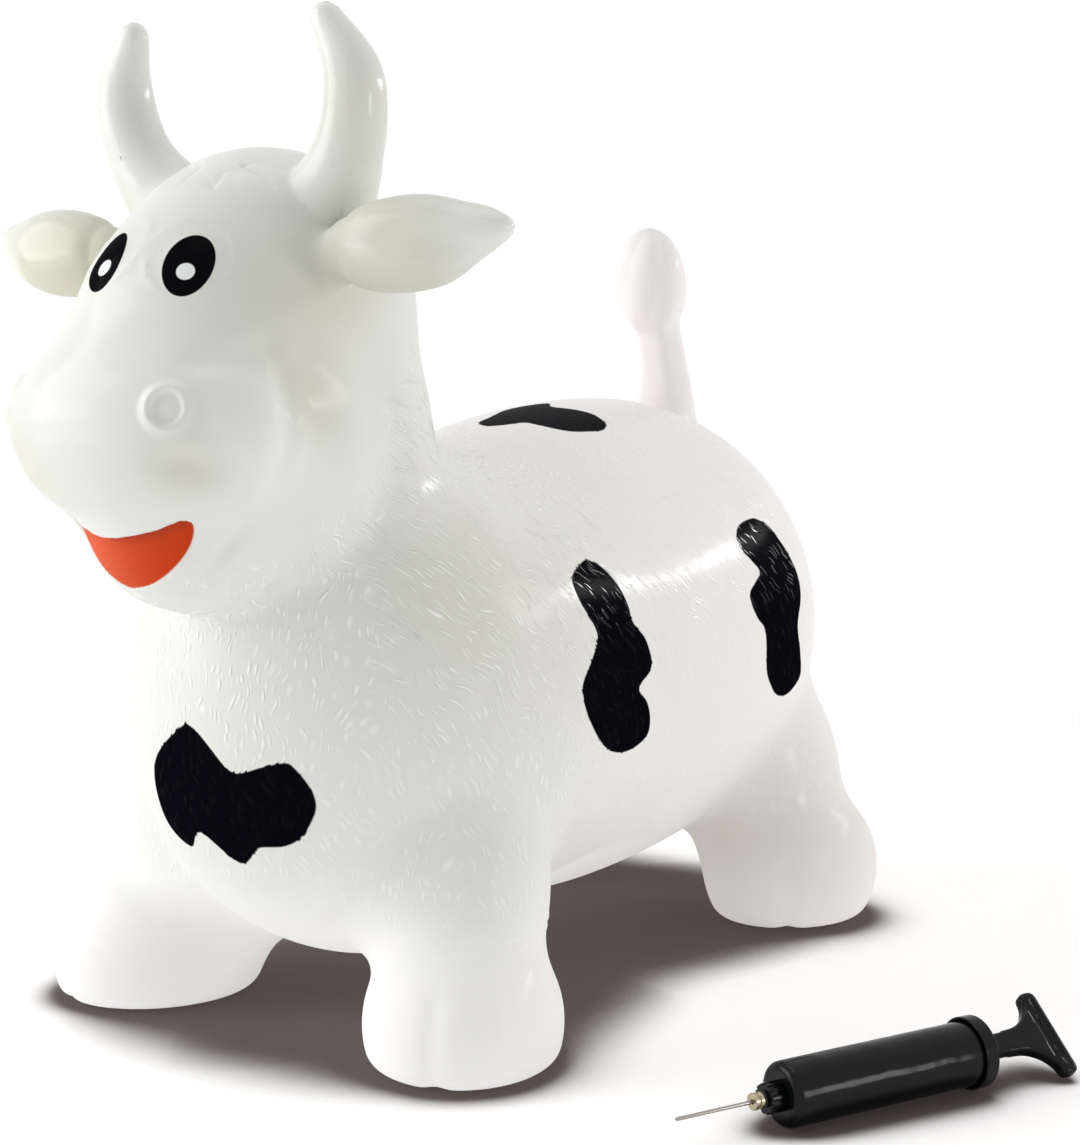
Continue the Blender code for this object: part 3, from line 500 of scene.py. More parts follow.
def smooth_loop(corners, cuts=5):
    """A closed smooth curve through the corners, as many short straight pieces."""
    b = np.array(corners, float)[:, None]
    a, c, d = np.roll(b, 1, 0), np.roll(b, -1, 0), np.roll(b, -2, 0)
    t = np.linspace(0, 1, cuts, endpoint=False)[None, :, None]
    return curve_between(a, b, c, d, t).reshape(-1, 2)


def inside_loop(points, corners):
    """Signed distance into a closed curve for flat points, counted no further than MASK_REACH."""
    loop = smooth_loop(corners)
    found = np.full(len(points), -MASK_REACH)
    close = ((points > loop.min(0) - MASK_REACH) & (points < loop.max(0) + MASK_REACH)).all(1)
    p = points[close][:, None]
    a, b = loop[None], np.roll(loop, -1, 0)[None]
    share = np.clip(((p - a) * (b - a)).sum(2) / ((b - a) ** 2).sum(2), 0, 1)[..., None]
    away = np.minimum(np.linalg.norm(p - a - (b - a) * share, axis=2).min(1), MASK_REACH)
    crosses = (a[..., 1] > p[..., 1]) != (b[..., 1] > p[..., 1])
    rise = np.where(crosses, b[..., 1] - a[..., 1], 1)
    at = a[..., 0] + (p[..., 1] - a[..., 1]) * (b[..., 0] - a[..., 0]) / rise
    odd = (crosses & (p[..., 0] < at)).sum(1) % 2 == 1
    found[close] = np.where(odd, away, -away)
    return found


def away_from_line(points, line):
    """Distance of points to a line with corners."""
    line = np.array(line, float)
    shortest = np.full(len(points), 1e3)
    for a, b in zip(line[:-1], line[1:]):
        share = np.clip((points - a) @ (b - a) / ((b - a) ** 2).sum(), 0, 1)
        shortest = np.minimum(shortest, np.linalg.norm(points - a - share[:, None] * (b - a), axis=1))
    return shortest


def hump(distance, width):
    """A bell of height 1 that has fallen to a third at this width."""
    return np.exp(-(distance / width) ** 2)


def ramp(value, start, end):
    """0 before start, 1 behind end and an even bend between."""
    share = np.clip((value - start) / (end - start), 0, 1)
    return share * share * (3 - 2 * share)


def paint_masks(points, out):
    """Signed distances in mm into the patches, eyes, white dots and mouth."""
    patch, eye, dot = (np.full(len(points), -MASK_REACH) for _ in range(3))
    for axis, side, outline in PATCHES:
        seen_from = out[:, axis] * side > 0.15
        flat = points[seen_from][:, [i for i in range(3) if i != axis]]
        patch[seen_from] = np.maximum(patch[seen_from], inside_loop(flat, outline))
    for middle, way, halves, lean, dot_middle in EYES:
        own = facing(points, middle, way)
        front = np.abs(own[:, 2]) < 14
        sight = inside_oval(own[front, 0], own[front, 1], halves, lean)
        eye[front] = np.maximum(eye[front], np.minimum(sight, MASK_REACH))
        dot = np.maximum(dot, DOT_RADIUS - np.linalg.norm(points - dot_middle, axis=1))
    own = facing(points, MOUTH_MIDDLE, MOUTH_FACING)
    mouth = np.where(np.abs(own[:, 2]) < 40, inside_loop(own[:, :2], MOUTH_OUTLINE), -MASK_REACH)
    return patch, eye, dot, mouth


def lip_depth(points):
    """How far in mm points of the mouth lie under the upper lip."""
    return np.clip(10 - facing(points, MOUTH_MIDDLE, MOUTH_FACING)[:, 1], 0, 60)


def mirrored(points):
    """The points with those of the right side turned over to the left."""
    return points * np.where(points[:, :1] < 0, (-1, 1, 1), (1, 1, 1))


def face_relief(points, mouth):
    """How far in mm lids, nostrils, mouth and folds stand above the plain lumps."""
    sides = mirrored(points)
    height = np.zeros(len(points))
    for middle, way, *_ in EYES:
        across, up, ahead = facing(points, middle, way).T
        ball = np.clip(1 - (across / EYE_BALL[0]) ** 2 - (up / EYE_BALL[1]) ** 2, 0, 1)
        lid = hump(inside_oval(across, up - LID_RISE, LID_HALVES), LID_WIDTH) * ramp(up, *LID_SPAN)
        height += hump(ahead, FACE_REACH) * (EYE_BULGE * ball + LID_HEIGHT * lid)
    for middle, way in ((NOSTRIL_MIDDLE, NOSTRIL_FACING), (FAR_NOSTRIL_MIDDLE, FAR_NOSTRIL_FACING)):
        across, up, ahead = facing(points, middle, way).T
        radius = np.hypot(across, up)
        detail = NOSTRIL_FLANGE_HEIGHT * ramp(radius, *NOSTRIL_FLANGE)
        detail += NOSTRIL_HEIGHT * hump(radius - NOSTRIL_RING, NOSTRIL_WIDTH)
        detail -= NOSTRIL_DISH * ramp(radius, NOSTRIL_DISC + 0.6, NOSTRIL_DISC - 1.6)
        height += hump(ahead, FACE_REACH) * detail
    across, up, ahead = facing(sides, DIMPLE_MIDDLE, NOSTRIL_FACING).T
    dimple = np.hypot(across / DIMPLE_HALVES[0], up / DIMPLE_HALVES[1])
    height -= DIMPLE_DEPTH * hump(dimple, 1) * hump(ahead, 12)
    height -= FOREHEAD_PIT_DEPTH * hump(np.linalg.norm(points - FOREHEAD_PIT, axis=1), FOREHEAD_PIT_WIDTH)
    for lock in FORELOCKS:
        height -= LOCK_DEPTH * hump(away_from_line(points, lock), LOCK_WIDTH)
    hollow = MOUTH_STEP + MOUTH_HOLLOW * hump(lip_depth(points), MOUTH_HOLLOW_REACH)
    height -= ramp(mouth, -0.6, 0.9) * hollow
    height -= FOLD_DEPTH * hump(away_from_line(sides, CHEEK_FOLD), FOLD_WIDTH)
    return height - THROAT_DEPTH * hump(away_from_line(sides, THROAT_FOLD), THROAT_WIDTH)


def limb_relief(points, out):
    """How far in mm the details of feet, ears and tail stand above the plain lumps."""
    x, y, z = points.T
    side = np.abs(x)
    height = np.zeros(len(points))
    for foot_x, foot_y, (ahead_x, ahead_y) in FEET:
        from_x, from_y = side - foot_x, y - foot_y
        foot = ramp(np.hypot(from_x, from_y), 88, 76)
        if foot_y < 0:
            outer = foot * ramp(side, foot_x - 4, foot_x + 18)
            for level, width, rise in FETLOCKS:
                height += rise * hump(z - level, width) * outer
        beside = from_x * ahead_y - from_y * ahead_x
        ahead = from_x * ahead_x + from_y * ahead_y
        low = ramp(z, CLEFT_TOP, CLEFT_TOP - 12) * ramp(ahead, 20, 34) * foot
        height -= CLEFT_DEPTH * hump(beside, CLEFT_WIDTH) * low
    ear = ramp(z, 388, 396) * ramp(z, 470, 458) * ramp(side, 79, 83)
    collar = EAR_COLLAR_DEPTH * hump(side - EAR_COLLAR, 3)
    point = EAR_POINT * ramp(side, 136, 154) * ramp(np.abs(z - 430), 2, 9)
    leaf = EAR_HOLLOW * hump(side - 124, 20) * hump(z - 428, 9) * ramp(out[:, 1], -0.2, -0.7)
    turn = np.arctan2(x, y - np.interp(z, *np.array(TAIL_AXIS, float).T))
    tail = ramp(y, 130, 150) * ramp(z, 330, 345) * ramp(z, 449, 440)
    tuft = ramp(z, 378, 392)
    pleats = TAIL_PLEAT_DEPTH * np.cos(TAIL_PLEATS * turn) * (1 - tuft)
    locks = TUFT_LOCK_DEPTH * np.abs(np.cos(TUFT_LOCKS / 2 * turn + (z - 400) * 0.045)) * tuft
    return height - ear * (collar + point + leaf) + tail * (pleats + locks)


PAINTED_SHADE_SPOTS = (                     # middle on the left side, reach in mm and strength of the painted shade; a negative strength takes painted shade off
    ((66, -245, 402), 48, 0.75), ((56, -321, 318), 26, 0.75), ((14, -335, 300), 30, 0.4),
    ((84, -180, 270), 70, 0.4), ((112, -110, 220), 75, 0.5), ((82, -300, 338), 17, -0.6),
    ((93, -250, 345), 24, 0.7), ((120, -232, 416), 36, 1.3), ((100, -190, 80), 40, 0.4),
    ((100, 170, 60), 60, 0.7), ((78, -219, 496), 30, 0.6),
)


def fur_share(points):
    """How strongly hair is embossed: 1 on neck and shoulder, less behind and below, 0 on face and feet."""
    x, y, z = points.T
    face = ramp(np.linalg.norm(points - (0, -262, 362), axis=1), 100, 122)
    crown = 1 - ramp(z, 345, 385) * ramp(y, -90, -130)
    tail = 1 - ramp(z, 318, 330) * ramp(y, 140, 165)
    level = 0.5 + 0.5 * ramp(z, 130, 220)
    rear = 1 - 0.6 * ramp(y, -70, 10)
    return face * crown * tail * level * rear * ramp(z, 66, 84)


def tone_share(points):
    """How much painted shade the vinyl gets round its head, neck, ears, horns and legs: a sum of soft round
    fields, 0 to 1.
    """
    return np.clip(sum(strength * hump(np.linalg.norm(mirrored(points) - middle, axis=1), reach)
                       for middle, reach, strength in PAINTED_SHADE_SPOTS), 0, 1)


def polish_share(points):
    """Where the mould is polished: on the horns, on the ears and on the front of the muzzle."""
    x, y, z = points.T
    ears = ramp(np.abs(x), 88, 100) * ramp(z, 390, 402)
    return np.maximum.reduce([ramp(z, 446, 464), ears, 0.6 * ramp(y, -285, -315)])


def outward(points):
    """The way out of the plain lumps, for points in mm."""
    inward = skin_depth(points * MM)[1]
    return -inward / np.maximum(np.linalg.norm(inward, axis=1), 1e-6)[:, None]


def fine_places(points, patch, eye, mouth, grain):
    """Which points, in mm, lie where the mould and the paint have finer detail than the grain shows."""
    x, y, z = points.T
    fine = (np.abs(patch) < 3.2 * grain) | (eye > -MASK_REACH) | (mouth > -4.5 * grain)
    for middle in (NOSTRIL_MIDDLE, FAR_NOSTRIL_MIDDLE):
        fine |= np.linalg.norm(points - middle, axis=1) < 20
    fetlock = (np.abs(z - 67.5) < 5.5 * grain) & (np.abs(x) > 62) & (np.abs(y) > 105)
    tail = (y > 130) & (z > 330)
    pocket = (np.hypot(x, y - VALVE_BACK / MM) < 12) & (z < 75)
    forelock = (z > 444) & (np.abs(x - 8) < 50) & (y < -215)
    fine |= fetlock | tail | pocket | forelock
    if grain > 1:
        head = (y < -120) & (z > 262)
        foot = (z < 75) & (np.abs(y) > 105)
        fine |= head | foot
    return fine


points, triangles = surface_net(skin_depth, SKIN_LOW, SKIN_HIGH, BODY_GRAIN)
points = settled(points, skin_depth)
for grain in (2, 1):
    patch, eye, dot, mouth = paint_masks(points / MM, outward(points / MM))
    points, triangles = cut_finer(points, triangles, fine_places(points / MM, patch, eye, mouth, grain))
    points = settled(points, skin_depth)
skin_mm = points / MM
out = outward(skin_mm)
patch, eye, dot, mouth = paint_masks(skin_mm, out)
height = face_relief(skin_mm, mouth) + limb_relief(skin_mm, out)


# Skin, vinyl: pearly white, darker and greener at the front partly by its own tint and partly by painted
# shade, with painted shade in the folds, a painted highlight on the crests of its short embossed hair and
# painted light on the feet.
# Horns, ears and muzzle left the mould polished; the rider's legs rub back and patches shiny.
# Colours of the vinyl: the front one is darker partly by painted shade; then come the painted shade, the
# painted highlight on the hair and the painted light on the feet.
VINYL_FRONT, VINYL_BACK = (0.80, 0.81, 0.77, 1), (0.88, 0.85, 0.84, 1)
VINYL_PAINTED_SHADE, STROKE_HIGHLIGHT_COLOUR, FOOT_PAINTED_LIGHT = (0.60, 0.59, 0.48, 1), (0.97, 0.97, 0.91, 1), (0.93, 0.92, 0.91, 1)
PATCH_COLOUR, EYE_COLOUR = (0.003, 0.003, 0.005, 1), (0.003, 0.003, 0.004, 1)
DOT_COLOUR, MOUTH_COLOUR = (0.86, 0.88, 0.88, 1), (0.60, 0.052, 0.008, 1)
# Mouth: its red, a painted light on its right side and a painted shadow under the upper lip.
MOUTH_PAINTED_LIGHT, MOUTH_PAINTED_SHADOW = (0.72, 0.12, 0.05, 1), (0.46, 0.045, 0.010, 1)
FACE_GLOSS, POLISHED_GLOSS, VINYL_GLOSS, PATCH_GLOSS = 0.10, 0.55, 0.42, (0.04, 1.0)
STROKE_HIGHLIGHT = 0.85           # how strongly the hair's crests get a painted highlight
RAGGED_EDGE = 1.4             # mm by which the hair's crests widen the patches
CLOUD_SCALE, CLOUD_RANGE, CLOUD_LEAST = 9.0, (0.30, 0.70), 0.6
BEND_SCALE, BEND_REACH = 42.0, 0.016                # waves in the lines of hair
HAIR_CELL, BACK_HAIR_CELL = (3.5, 12), (3.2, 8)      # mm across and along the hair
HAIR_LEAN, HAIR_LEAN_GROWTH, HAIR_UPRIGHT = 0.2, 2.75, 0.10
HAIR_HEIGHT = 0.00055
VINYL_WEAR = (0.30, 0.08, 22.0, 0.00006)    # roughness, its spread, scale of the noise, metres of relief
REAR, FRONT, SADDLE = (-0.25, 0.09), (-0.10, 0.02), (-0.105, -0.06)    # metres behind the cow's zero
PAINTED_LIGHT_LIP = (-0.045, 0.03)    # metres left of the cow's middle over which the painted light on the mouth's red fades out
FOOT_HEIGHTS, NAPE_HEIGHTS = (0.05, 0.12), (0.26, 0.29)    # metres above the floor, as the two below
RUBBED_HEIGHTS = (0.205, 0.250)                            # where the rider's legs make the paint shiny
SEAT_HEIGHTS, SEAT_TOP, SEAT_GLOSS = (0.295, 0.32), (0.36, 0.39), 0.06
RUBBED_CRESTS, RUBBED_FLAT = (0.10, 0.30), 0.03    # height of the hair from which it shines, shine beside it


def material_of(name, **settings):
    """A new material and its Principled shader with these settings."""
    made = bpy.data.materials.new(name)
    made.use_nodes = True
    return made, set_up(made.node_tree.nodes["Principled BSDF"], **settings)


def handled_group():
    """Even wear from handling: a slow and a fine noise on the own coordinates.

    Roughness is the base value plus the spread times the noise, height the fine noise alone.
    """
    tree = bpy.data.node_groups.new("handled", "ShaderNodeTree")
    for label in ("Roughness", "Spread", "Scale"):
        tree.interface.new_socket(label, in_out="INPUT", socket_type="NodeSocketFloat")
    for label in ("Roughness", "Height"):
        tree.interface.new_socket(label, in_out="OUTPUT", socket_type="NodeSocketFloat")
    asked = tree.nodes.new("NodeGroupInput").outputs
    where = node(tree, "TexCoord").outputs["Object"]
    slow = node(tree, "TexNoise", in_Vector=where, in_Scale=asked["Scale"], in_Detail=3.0)
    fine_scale = maths("MULTIPLY", asked["Scale"], 14.0)
    fine = node(tree, "TexNoise", in_Vector=where, in_Scale=fine_scale, in_Detail=1.0)
    worn = maths("MULTIPLY_ADD", maths("SUBTRACT", slow, 0.5), asked["Spread"], asked["Roughness"])
    set_up(tree.nodes.new("NodeGroupOutput"), in_Roughness=worn, in_Height=fine)
    return tree


HANDLED = handled_group()


def handled(shader, roughness, spread, scale, depth, relief=None):
    """Puts the wear on a shader; relief is a bump node of its own that the fine noise is added under."""
    worn = node(shader.id_data, "Group", node_tree=HANDLED, in_Roughness=roughness, in_Spread=spread,
                in_Scale=scale)
    set_up(shader, in_Roughness=worn.outputs["Roughness"])
    fine = node(shader.id_data, "Bump", in_Distance=depth, in_Height=worn.outputs["Height"])
    set_up(relief or shader, in_Normal=fine)


def hair_strokes(across, along, cell):
    """Short raised strokes: one oval per long cell of a flat Voronoi pattern, each of its own strength."""
    flat = node(across.id_data, "CombineXYZ", in_0=across, in_1=along)
    counted = maths("MULTIPLY", flat, (1 / (cell[0] * MM), 1 / (cell[1] * MM), 1), kind="VectorMath")
    cells = node(across.id_data, "TexVoronoi", voronoi_dimensions="2D", in_Vector=counted, in_Scale=1.0,
                 in_Randomness=1.0)
    stroke = between(cells.outputs["Distance"], 0.10, 0.36, 1.0, 0.0)
    chance = node(across.id_data, "SeparateColor", in_Color=cells.outputs["Color"])
    return maths("MULTIPLY", stroke, between(chance, 0.05, 0.75, 0.15, 1.0))


def mixed(share, first, second):
    """The first number where share is 0 and the second where it is 1."""
    return node(share.id_data, "Mix", data_type="FLOAT", in_0=share, in_2=first, in_3=second)


vinyl, shader = material_of("pearl_vinyl", in_IOR=1.5, in_Specular_IOR_Level=0.0, in_Coat_Roughness=0.15)
tree = shader.id_data
patch_in, eye_in, dot_in, mouth_in, lip_in, furry, tone, polish = (
    node(tree, "Attribute", attribute_name=label).outputs["Fac"]
    for label in ("patch", "eye", "dot", "mouth", "under_lip", "fur", "tone", "polish"))
where = node(tree, "TexCoord").outputs
spot = where["Object"]
x, y, z = node(tree, "SeparateXYZ", in_0=spot).outputs
bend = node(tree, "TexNoise", in_Vector=spot, in_Scale=BEND_SCALE, in_Detail=1.0)
centred = maths("SUBTRACT", bend.outputs["Color"], (0.5, 0.5, 0.5), kind="VectorMath")
scaled = maths("SCALE", centred, kind="VectorMath", in_Scale=BEND_REACH)
bent = maths("ADD", scaled, spot, kind="VectorMath")
bent_x, bent_y, bent_z = node(tree, "SeparateXYZ", in_0=bent).outputs
above = maths("SUBTRACT", bent_z, HAIR_UPRIGHT)
swept = maths("MULTIPLY_ADD", above, maths("MULTIPLY_ADD", above, HAIR_LEAN_GROWTH, HAIR_LEAN), bent_y)
side_hair = hair_strokes(swept, bent_z, HAIR_CELL)
front_hair = hair_strokes(bent_x, bent_z, HAIR_CELL)
back_hair = hair_strokes(bent_x, bent_y, BACK_HAIR_CELL)
_, out_y, out_z = node(tree, "SeparateXYZ", in_0=where["Normal"]).outputs
upright_hair = mixed(between(out_y, -0.78, -0.60, 1.0, 0.0), side_hair, front_hair)
strokes = maths("MULTIPLY", mixed(between(out_z, 0.62, 0.86), upright_hair, back_hair), furry)

rear, saddle = (between(y, *(COW_PLACE[1] + reach)) for reach in (REAR, SADDLE))
forward = between(y, *(COW_PLACE[1] + FRONT), 1.0, 0.0)
cloud = node(tree, "TexNoise", in_Vector=spot, in_Scale=CLOUD_SCALE, in_Detail=1.0)
# Painted shade from the spots, broken up by a slow noise.
painted_shade_mask = maths("MULTIPLY", tone, between(cloud, *CLOUD_RANGE, CLOUD_LEAST, 1.0))
# Painted light on the low front of the feet.
painted_light_on_feet = maths("MULTIPLY", between(z, *FOOT_HEIGHTS, 1.0, 0.0), forward)
ragged = maths("ADD", patch_in, maths("MULTIPLY", strokes, RAGGED_EDGE))
on_patch = between(ragged, 0.1, 1.1)
on_eye = between(eye_in, -0.3, 0.3)
# Painted light on the mouth's right side and painted shadow just under the upper lip.
painted_light_side = between(x, *(COW_PLACE[0] + PAINTED_LIGHT_LIP), 1.0, 0.0)
lips_with_painted_light_and_shadow = painted(MOUTH_PAINTED_SHADOW, painted(MOUTH_COLOUR, MOUTH_PAINTED_LIGHT, painted_light_side), between(lip_in, 0.5, 6.0))
# Darker and greener at the front, paler and warmer at the rump: partly the vinyl's own tint, partly painted
# shade.
body = painted(VINYL_FRONT, VINYL_BACK, rear)
# Over the body go painted shade, painted light on the feet, a painted highlight on the hair's crests, then
# patches, mouth, eyes and dots.
for colour, mask in ((VINYL_PAINTED_SHADE, painted_shade_mask), (FOOT_PAINTED_LIGHT, painted_light_on_feet),
                     (STROKE_HIGHLIGHT_COLOUR, maths("MULTIPLY", strokes, STROKE_HIGHLIGHT)), (PATCH_COLOUR, on_patch),
                     (lips_with_painted_light_and_shadow, between(mouth_in, -0.2, 0.8)), (EYE_COLOUR, on_eye),
                     (DOT_COLOUR, between(dot_in, -0.3, 0.3))):
    body = painted(body, colour, mask)

crests = maths("MULTIPLY", between(strokes, *RUBBED_CRESTS), between(z, *SEAT_HEIGHTS, 1.0, 0.0))
seat = maths("MULTIPLY", between(z, *SEAT_HEIGHTS), between(z, *SEAT_TOP, SEAT_GLOSS, 0.0))
rubbed = maths("ADD", crests, maths("ADD", seat, RUBBED_FLAT))
stroke_gloss = maths("MULTIPLY", rubbed, between(z, *RUBBED_HEIGHTS, *PATCH_GLOSS))
ridden = maths("MULTIPLY", maths("MAXIMUM", saddle, between(z, *NAPE_HEIGHTS)), between(furry, 0.0, 0.3))
vinyl_gloss = maths("MAXIMUM", between(ridden, 0.0, 1.0, FACE_GLOSS, VINYL_GLOSS),
                    maths("MULTIPLY", polish, POLISHED_GLOSS))
hair_bump, coat_bump = (node(tree, "Bump", in_Distance=HAIR_HEIGHT, in_Height=strokes) for _ in range(2))
set_up(shader, in_Base_Color=body, in_Normal=hair_bump, in_Coat_Normal=coat_bump,
       in_Coat_Weight=mixed(maths("MAXIMUM", on_patch, on_eye), vinyl_gloss, stroke_gloss))
handled(shader, *VINYL_WEAR, hair_bump)


def show(name, points, triangles, material, node_name, body_name, slot, sharp=None, **values):
    """Makes a piece of the visual from arrays, with its values per point, and puts it on its body."""
    mesh = mesh_of(name, points, triangles)
    for label, numbers in values.items():
        mesh.attributes.new(label, "FLOAT", "POINT").data.foreach_set("value", numbers.astype(np.float32))
    if sharp:
        mesh.set_sharp_from_angle(angle=math.radians(sharp))
    mesh.materials.append(material)
    made = bpy.data.objects.new(name, mesh)
    bpy.context.scene.collection.objects.link(made)
    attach(made, body_name)
    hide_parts(node_name)


show("cow_skin", points + out * (height * MM)[:, None] + COW_PLACE, triangles, vinyl, "skin", "base", "vinyl",
     patch=patch, eye=eye, dot=dot, mouth=mouth, under_lip=lip_depth(skin_mm), fur=fur_share(skin_mm),
     tone=tone_share(skin_mm), polish=polish_share(skin_mm))


# Valve and plug: a soft rubber seat pressed into the belly, with a stopper that is pushed in by hand.
VALVE_CORNERS = ((0, 56), (5.5, 56), (5.5, 42.2), (9, 42.2), (9, 40), (2.9, 40), (2.9, 49.3), (0, 49.3))
PLUG_CORNERS = ((0, 49), (2.2, 49), (2.6, 44.5), (2.6, 39.7), (5, 39.7), (5, 38.1), (0, 38.1))
RUBBER_COLOUR, RUBBER_WEAR = (0.78, 0.78, 0.75, 1), (0.48, 0.1, 90.0, 0.00004)


def rounded(corners, radius, cuts=4):
    """The profile with each corner off the axis turned into an arc, and a support point beside each arc."""
    corners = np.array(corners, float)
    closed = corners[0, 0] > 0
    made = []
    for i, corner in enumerate(corners):
        if not closed and i in (0, len(corners) - 1):
            made.append(corner)
            continue
        before, after = corners[i - 1] - corner, corners[(i + 1) % len(corners)] - corner
        room = min(np.linalg.norm(before), np.linalg.norm(after)) * 0.42
        before, after = before / np.linalg.norm(before), after / np.linalg.norm(after)
        half = math.acos(max(-1.0, min(1.0, before @ after))) / 2
        size = min(radius, room * math.tan(half))
        start = size / math.tan(half)
        middle = corner + (before + after) / np.linalg.norm(before + after) * size / math.sin(half)
        first, last = corner + before * start - middle, corner + after * start - middle
        turn = math.atan2(first[0] * last[1] - first[1] * last[0], first @ last)
        made.append(corner + before * start * 1.25)
        for t in np.linspace(0, turn, cuts + 1):
            made.append(middle + (first[0] * math.cos(t) - first[1] * math.sin(t),
                                  first[0] * math.sin(t) + first[1] * math.cos(t)))
        made.append(corner + after * start * 1.25)
    return np.array(made)


def spun(profile, steps=64, radii=None, angles=None):
    """Points and triangles of a profile turned about Z, in the profile's units.

    The profile is a loop unless it starts on the axis.  radii, one per row and angle, may replace the
    profile's own, for ribs and keyed holes.
    """
    angles = np.linspace(0, math.tau, steps, endpoint=False) if angles is None else angles
    radii = np.repeat(profile[:, :1], len(angles), 1) if radii is None else radii
    heights = np.repeat(profile[:, 1:2], len(angles), 1)
    points = np.stack([radii * np.cos(angles), radii * np.sin(angles), heights], -1).reshape(-1, 3)
    index = np.arange(len(points)).reshape(len(profile), -1)
    on_axis = radii.max(1) <= 0
    index[on_axis] = index[on_axis][:, :1]
    if profile[0, 0] > 0:
        index = np.vstack([index, index[:1]])
    a, b = index[:-1], index[1:]
    c, d = np.roll(b, -1, 1), np.roll(a, -1, 1)
    triangles = np.stack([np.stack([a, b, c], -1), np.stack([a, c, d], -1)]).reshape(-1, 3)
    flat = (triangles == np.roll(triangles, 1, 1)).any(1)
    used, triangles = np.unique(triangles[~flat], return_inverse=True)
    points, triangles = points[used], triangles.reshape(-1, 3)
    corner = points[triangles]
    if (corner[:, 0] * np.cross(corner[:, 1], corner[:, 2])).sum() < 0:
        triangles = triangles[:, ::-1]
    return points, triangles


rubber, shader = material_of("white_rubber", in_Base_Color=RUBBER_COLOUR, in_IOR=1.5)
handled(shader, *RUBBER_WEAR)
for name, corners, body_name in (("valve", VALVE_CORNERS, "base"), ("valve_plug", PLUG_CORNERS, "plug")):
    turned, triangles = spun(rounded(corners, 0.4), 48)
    show(name + "_rubber", turned * MM + (0, VALVE_BACK, 0) + COW_PLACE, triangles, rubber, name, body_name,
         "white_rubber", 35)


# Pump barrel: a glossy black plastic tube, moulded with a closed, rounded front end.
# Its wall is thin and a little wavy, which breaks up the long reflection along it.
PUMP_HEADING = math.radians(64.35)
PUMP_PITCH = math.asin(2.1 / 106.5)
PUMP_ROLL = math.radians(41.13)
PUMP_FROM_COW = (0.29615, -0.16730, 0.01622)
BARREL_BACK = ((14.5, 118.5), (15.9, 118.5), (16.2, 118.4), (16.3, 118.1), (16.3, 114.5))
BARREL_FRONT = ((6, 0), (5.6, 0.05), (5.3, 0.3), (5.3, 3), (14, 3), (14.3, 3.3), (14.3, 118.3))
BLACK_COLOUR, BLACK_WEAR = (0.003, 0.0035, 0.004, 1), (0.20, 0.08, 60.0, 0.00003)
WAVE_SCALE, WAVE_HEIGHT, WAVE_STRENGTHS = 55.0, 0.0011, (0.8, 0.5)    # strengths in the plastic and its gloss
PUMP_AXES = (axis_turn(2, PUMP_HEADING) @ axis_turn(1, math.pi / 2 - PUMP_PITCH)
             @ axis_turn(2, math.pi / 2 + PUMP_ROLL))


def on_pump(points):
    """Points in mm of the pump's own frame, with Z from the needle to the handle, where the pump lies."""
    return points * MM @ PUMP_AXES.T + PUMP_FROM_COW + COW_PLACE


def show_turned(name, profile, material, node_name, body_name="base", sharp=35, **turning):
    """Makes a turned piece of the pump."""
    turned, triangles = spun(profile, **turning)
    slot = material.name.partition(".")[0]
    show(name, on_pump(turned), triangles, material, node_name, body_name, slot, sharp)


plastic, shader = material_of("black_plastic", in_Base_Color=BLACK_COLOUR, in_IOR=1.5,
                              in_Specular_IOR_Level=0.04, in_Coat_Weight=0.27, in_Coat_Roughness=0.14)
wave = node(shader.id_data, "TexNoise", in_Vector=node(shader.id_data, "TexCoord").outputs["Object"],
            in_Scale=WAVE_SCALE, in_Detail=1.5)
wavy, rippled = (node(shader.id_data, "Bump", in_Distance=WAVE_HEIGHT, in_Strength=strength, in_Height=wave)
                 for strength in WAVE_STRENGTHS)
set_up(shader, in_Normal=wavy, in_Coat_Normal=rippled)
handled(shader, *BLACK_WEAR, wavy)
front_arc = [(12.3 + 4 * math.cos(t), 4 - 4 * math.sin(t)) for t in np.linspace(0, math.pi / 2, 9)]
barrel_profile = np.array([*BARREL_BACK, *front_arc, *BARREL_FRONT])
show_turned("pump_barrel_tube", barrel_profile, plastic, "pump_barrel", steps=96)


# Pump collar: the cap at the back of the barrel.  Its skirt stands off the tube and its keyed hole guides
# the cross-shaped rod; one moulding of the same black plastic.
COLLAR_CORNERS = ((5.8, 121.8), (18.4, 121.8), (18.4, 113.8), (17, 113.8), (17, 118.8), (14, 118.8),
                  (14, 113.8), (12.2, 113.8), (12.2, 118.8), (5.8, 118.8))
KEY_HALF, KEY_BLADE_HALF = 5.8, 1.6

collar_profile = rounded(COLLAR_CORNERS, 0.9)
key_corner = math.atan2(KEY_BLADE_HALF, KEY_HALF)
quarter = np.concatenate([np.linspace(-key_corner, key_corner, 5),
                          np.linspace(key_corner, math.pi / 4, 9)[1:],
                          np.linspace(math.pi / 4, math.pi / 2 - key_corner, 9)[1:-1]])
key_angles = np.concatenate([quarter + math.pi / 2 * i for i in range(4)])
c, s = np.abs(np.cos(key_angles)) + 1e-9, np.abs(np.sin(key_angles)) + 1e-9
key_radius = np.maximum(np.minimum(KEY_HALF / c, KEY_BLADE_HALF / s),
                        np.minimum(KEY_BLADE_HALF / c, KEY_HALF / s))
collar_radii = np.repeat(collar_profile[:, :1], len(key_angles), 1)
keyed = collar_profile[:, 0] < 8
collar_radii[keyed] += key_radius - KEY_HALF
show_turned("pump_collar_cap", collar_profile, plastic, "pump_collar", radii=collar_radii, angles=key_angles)


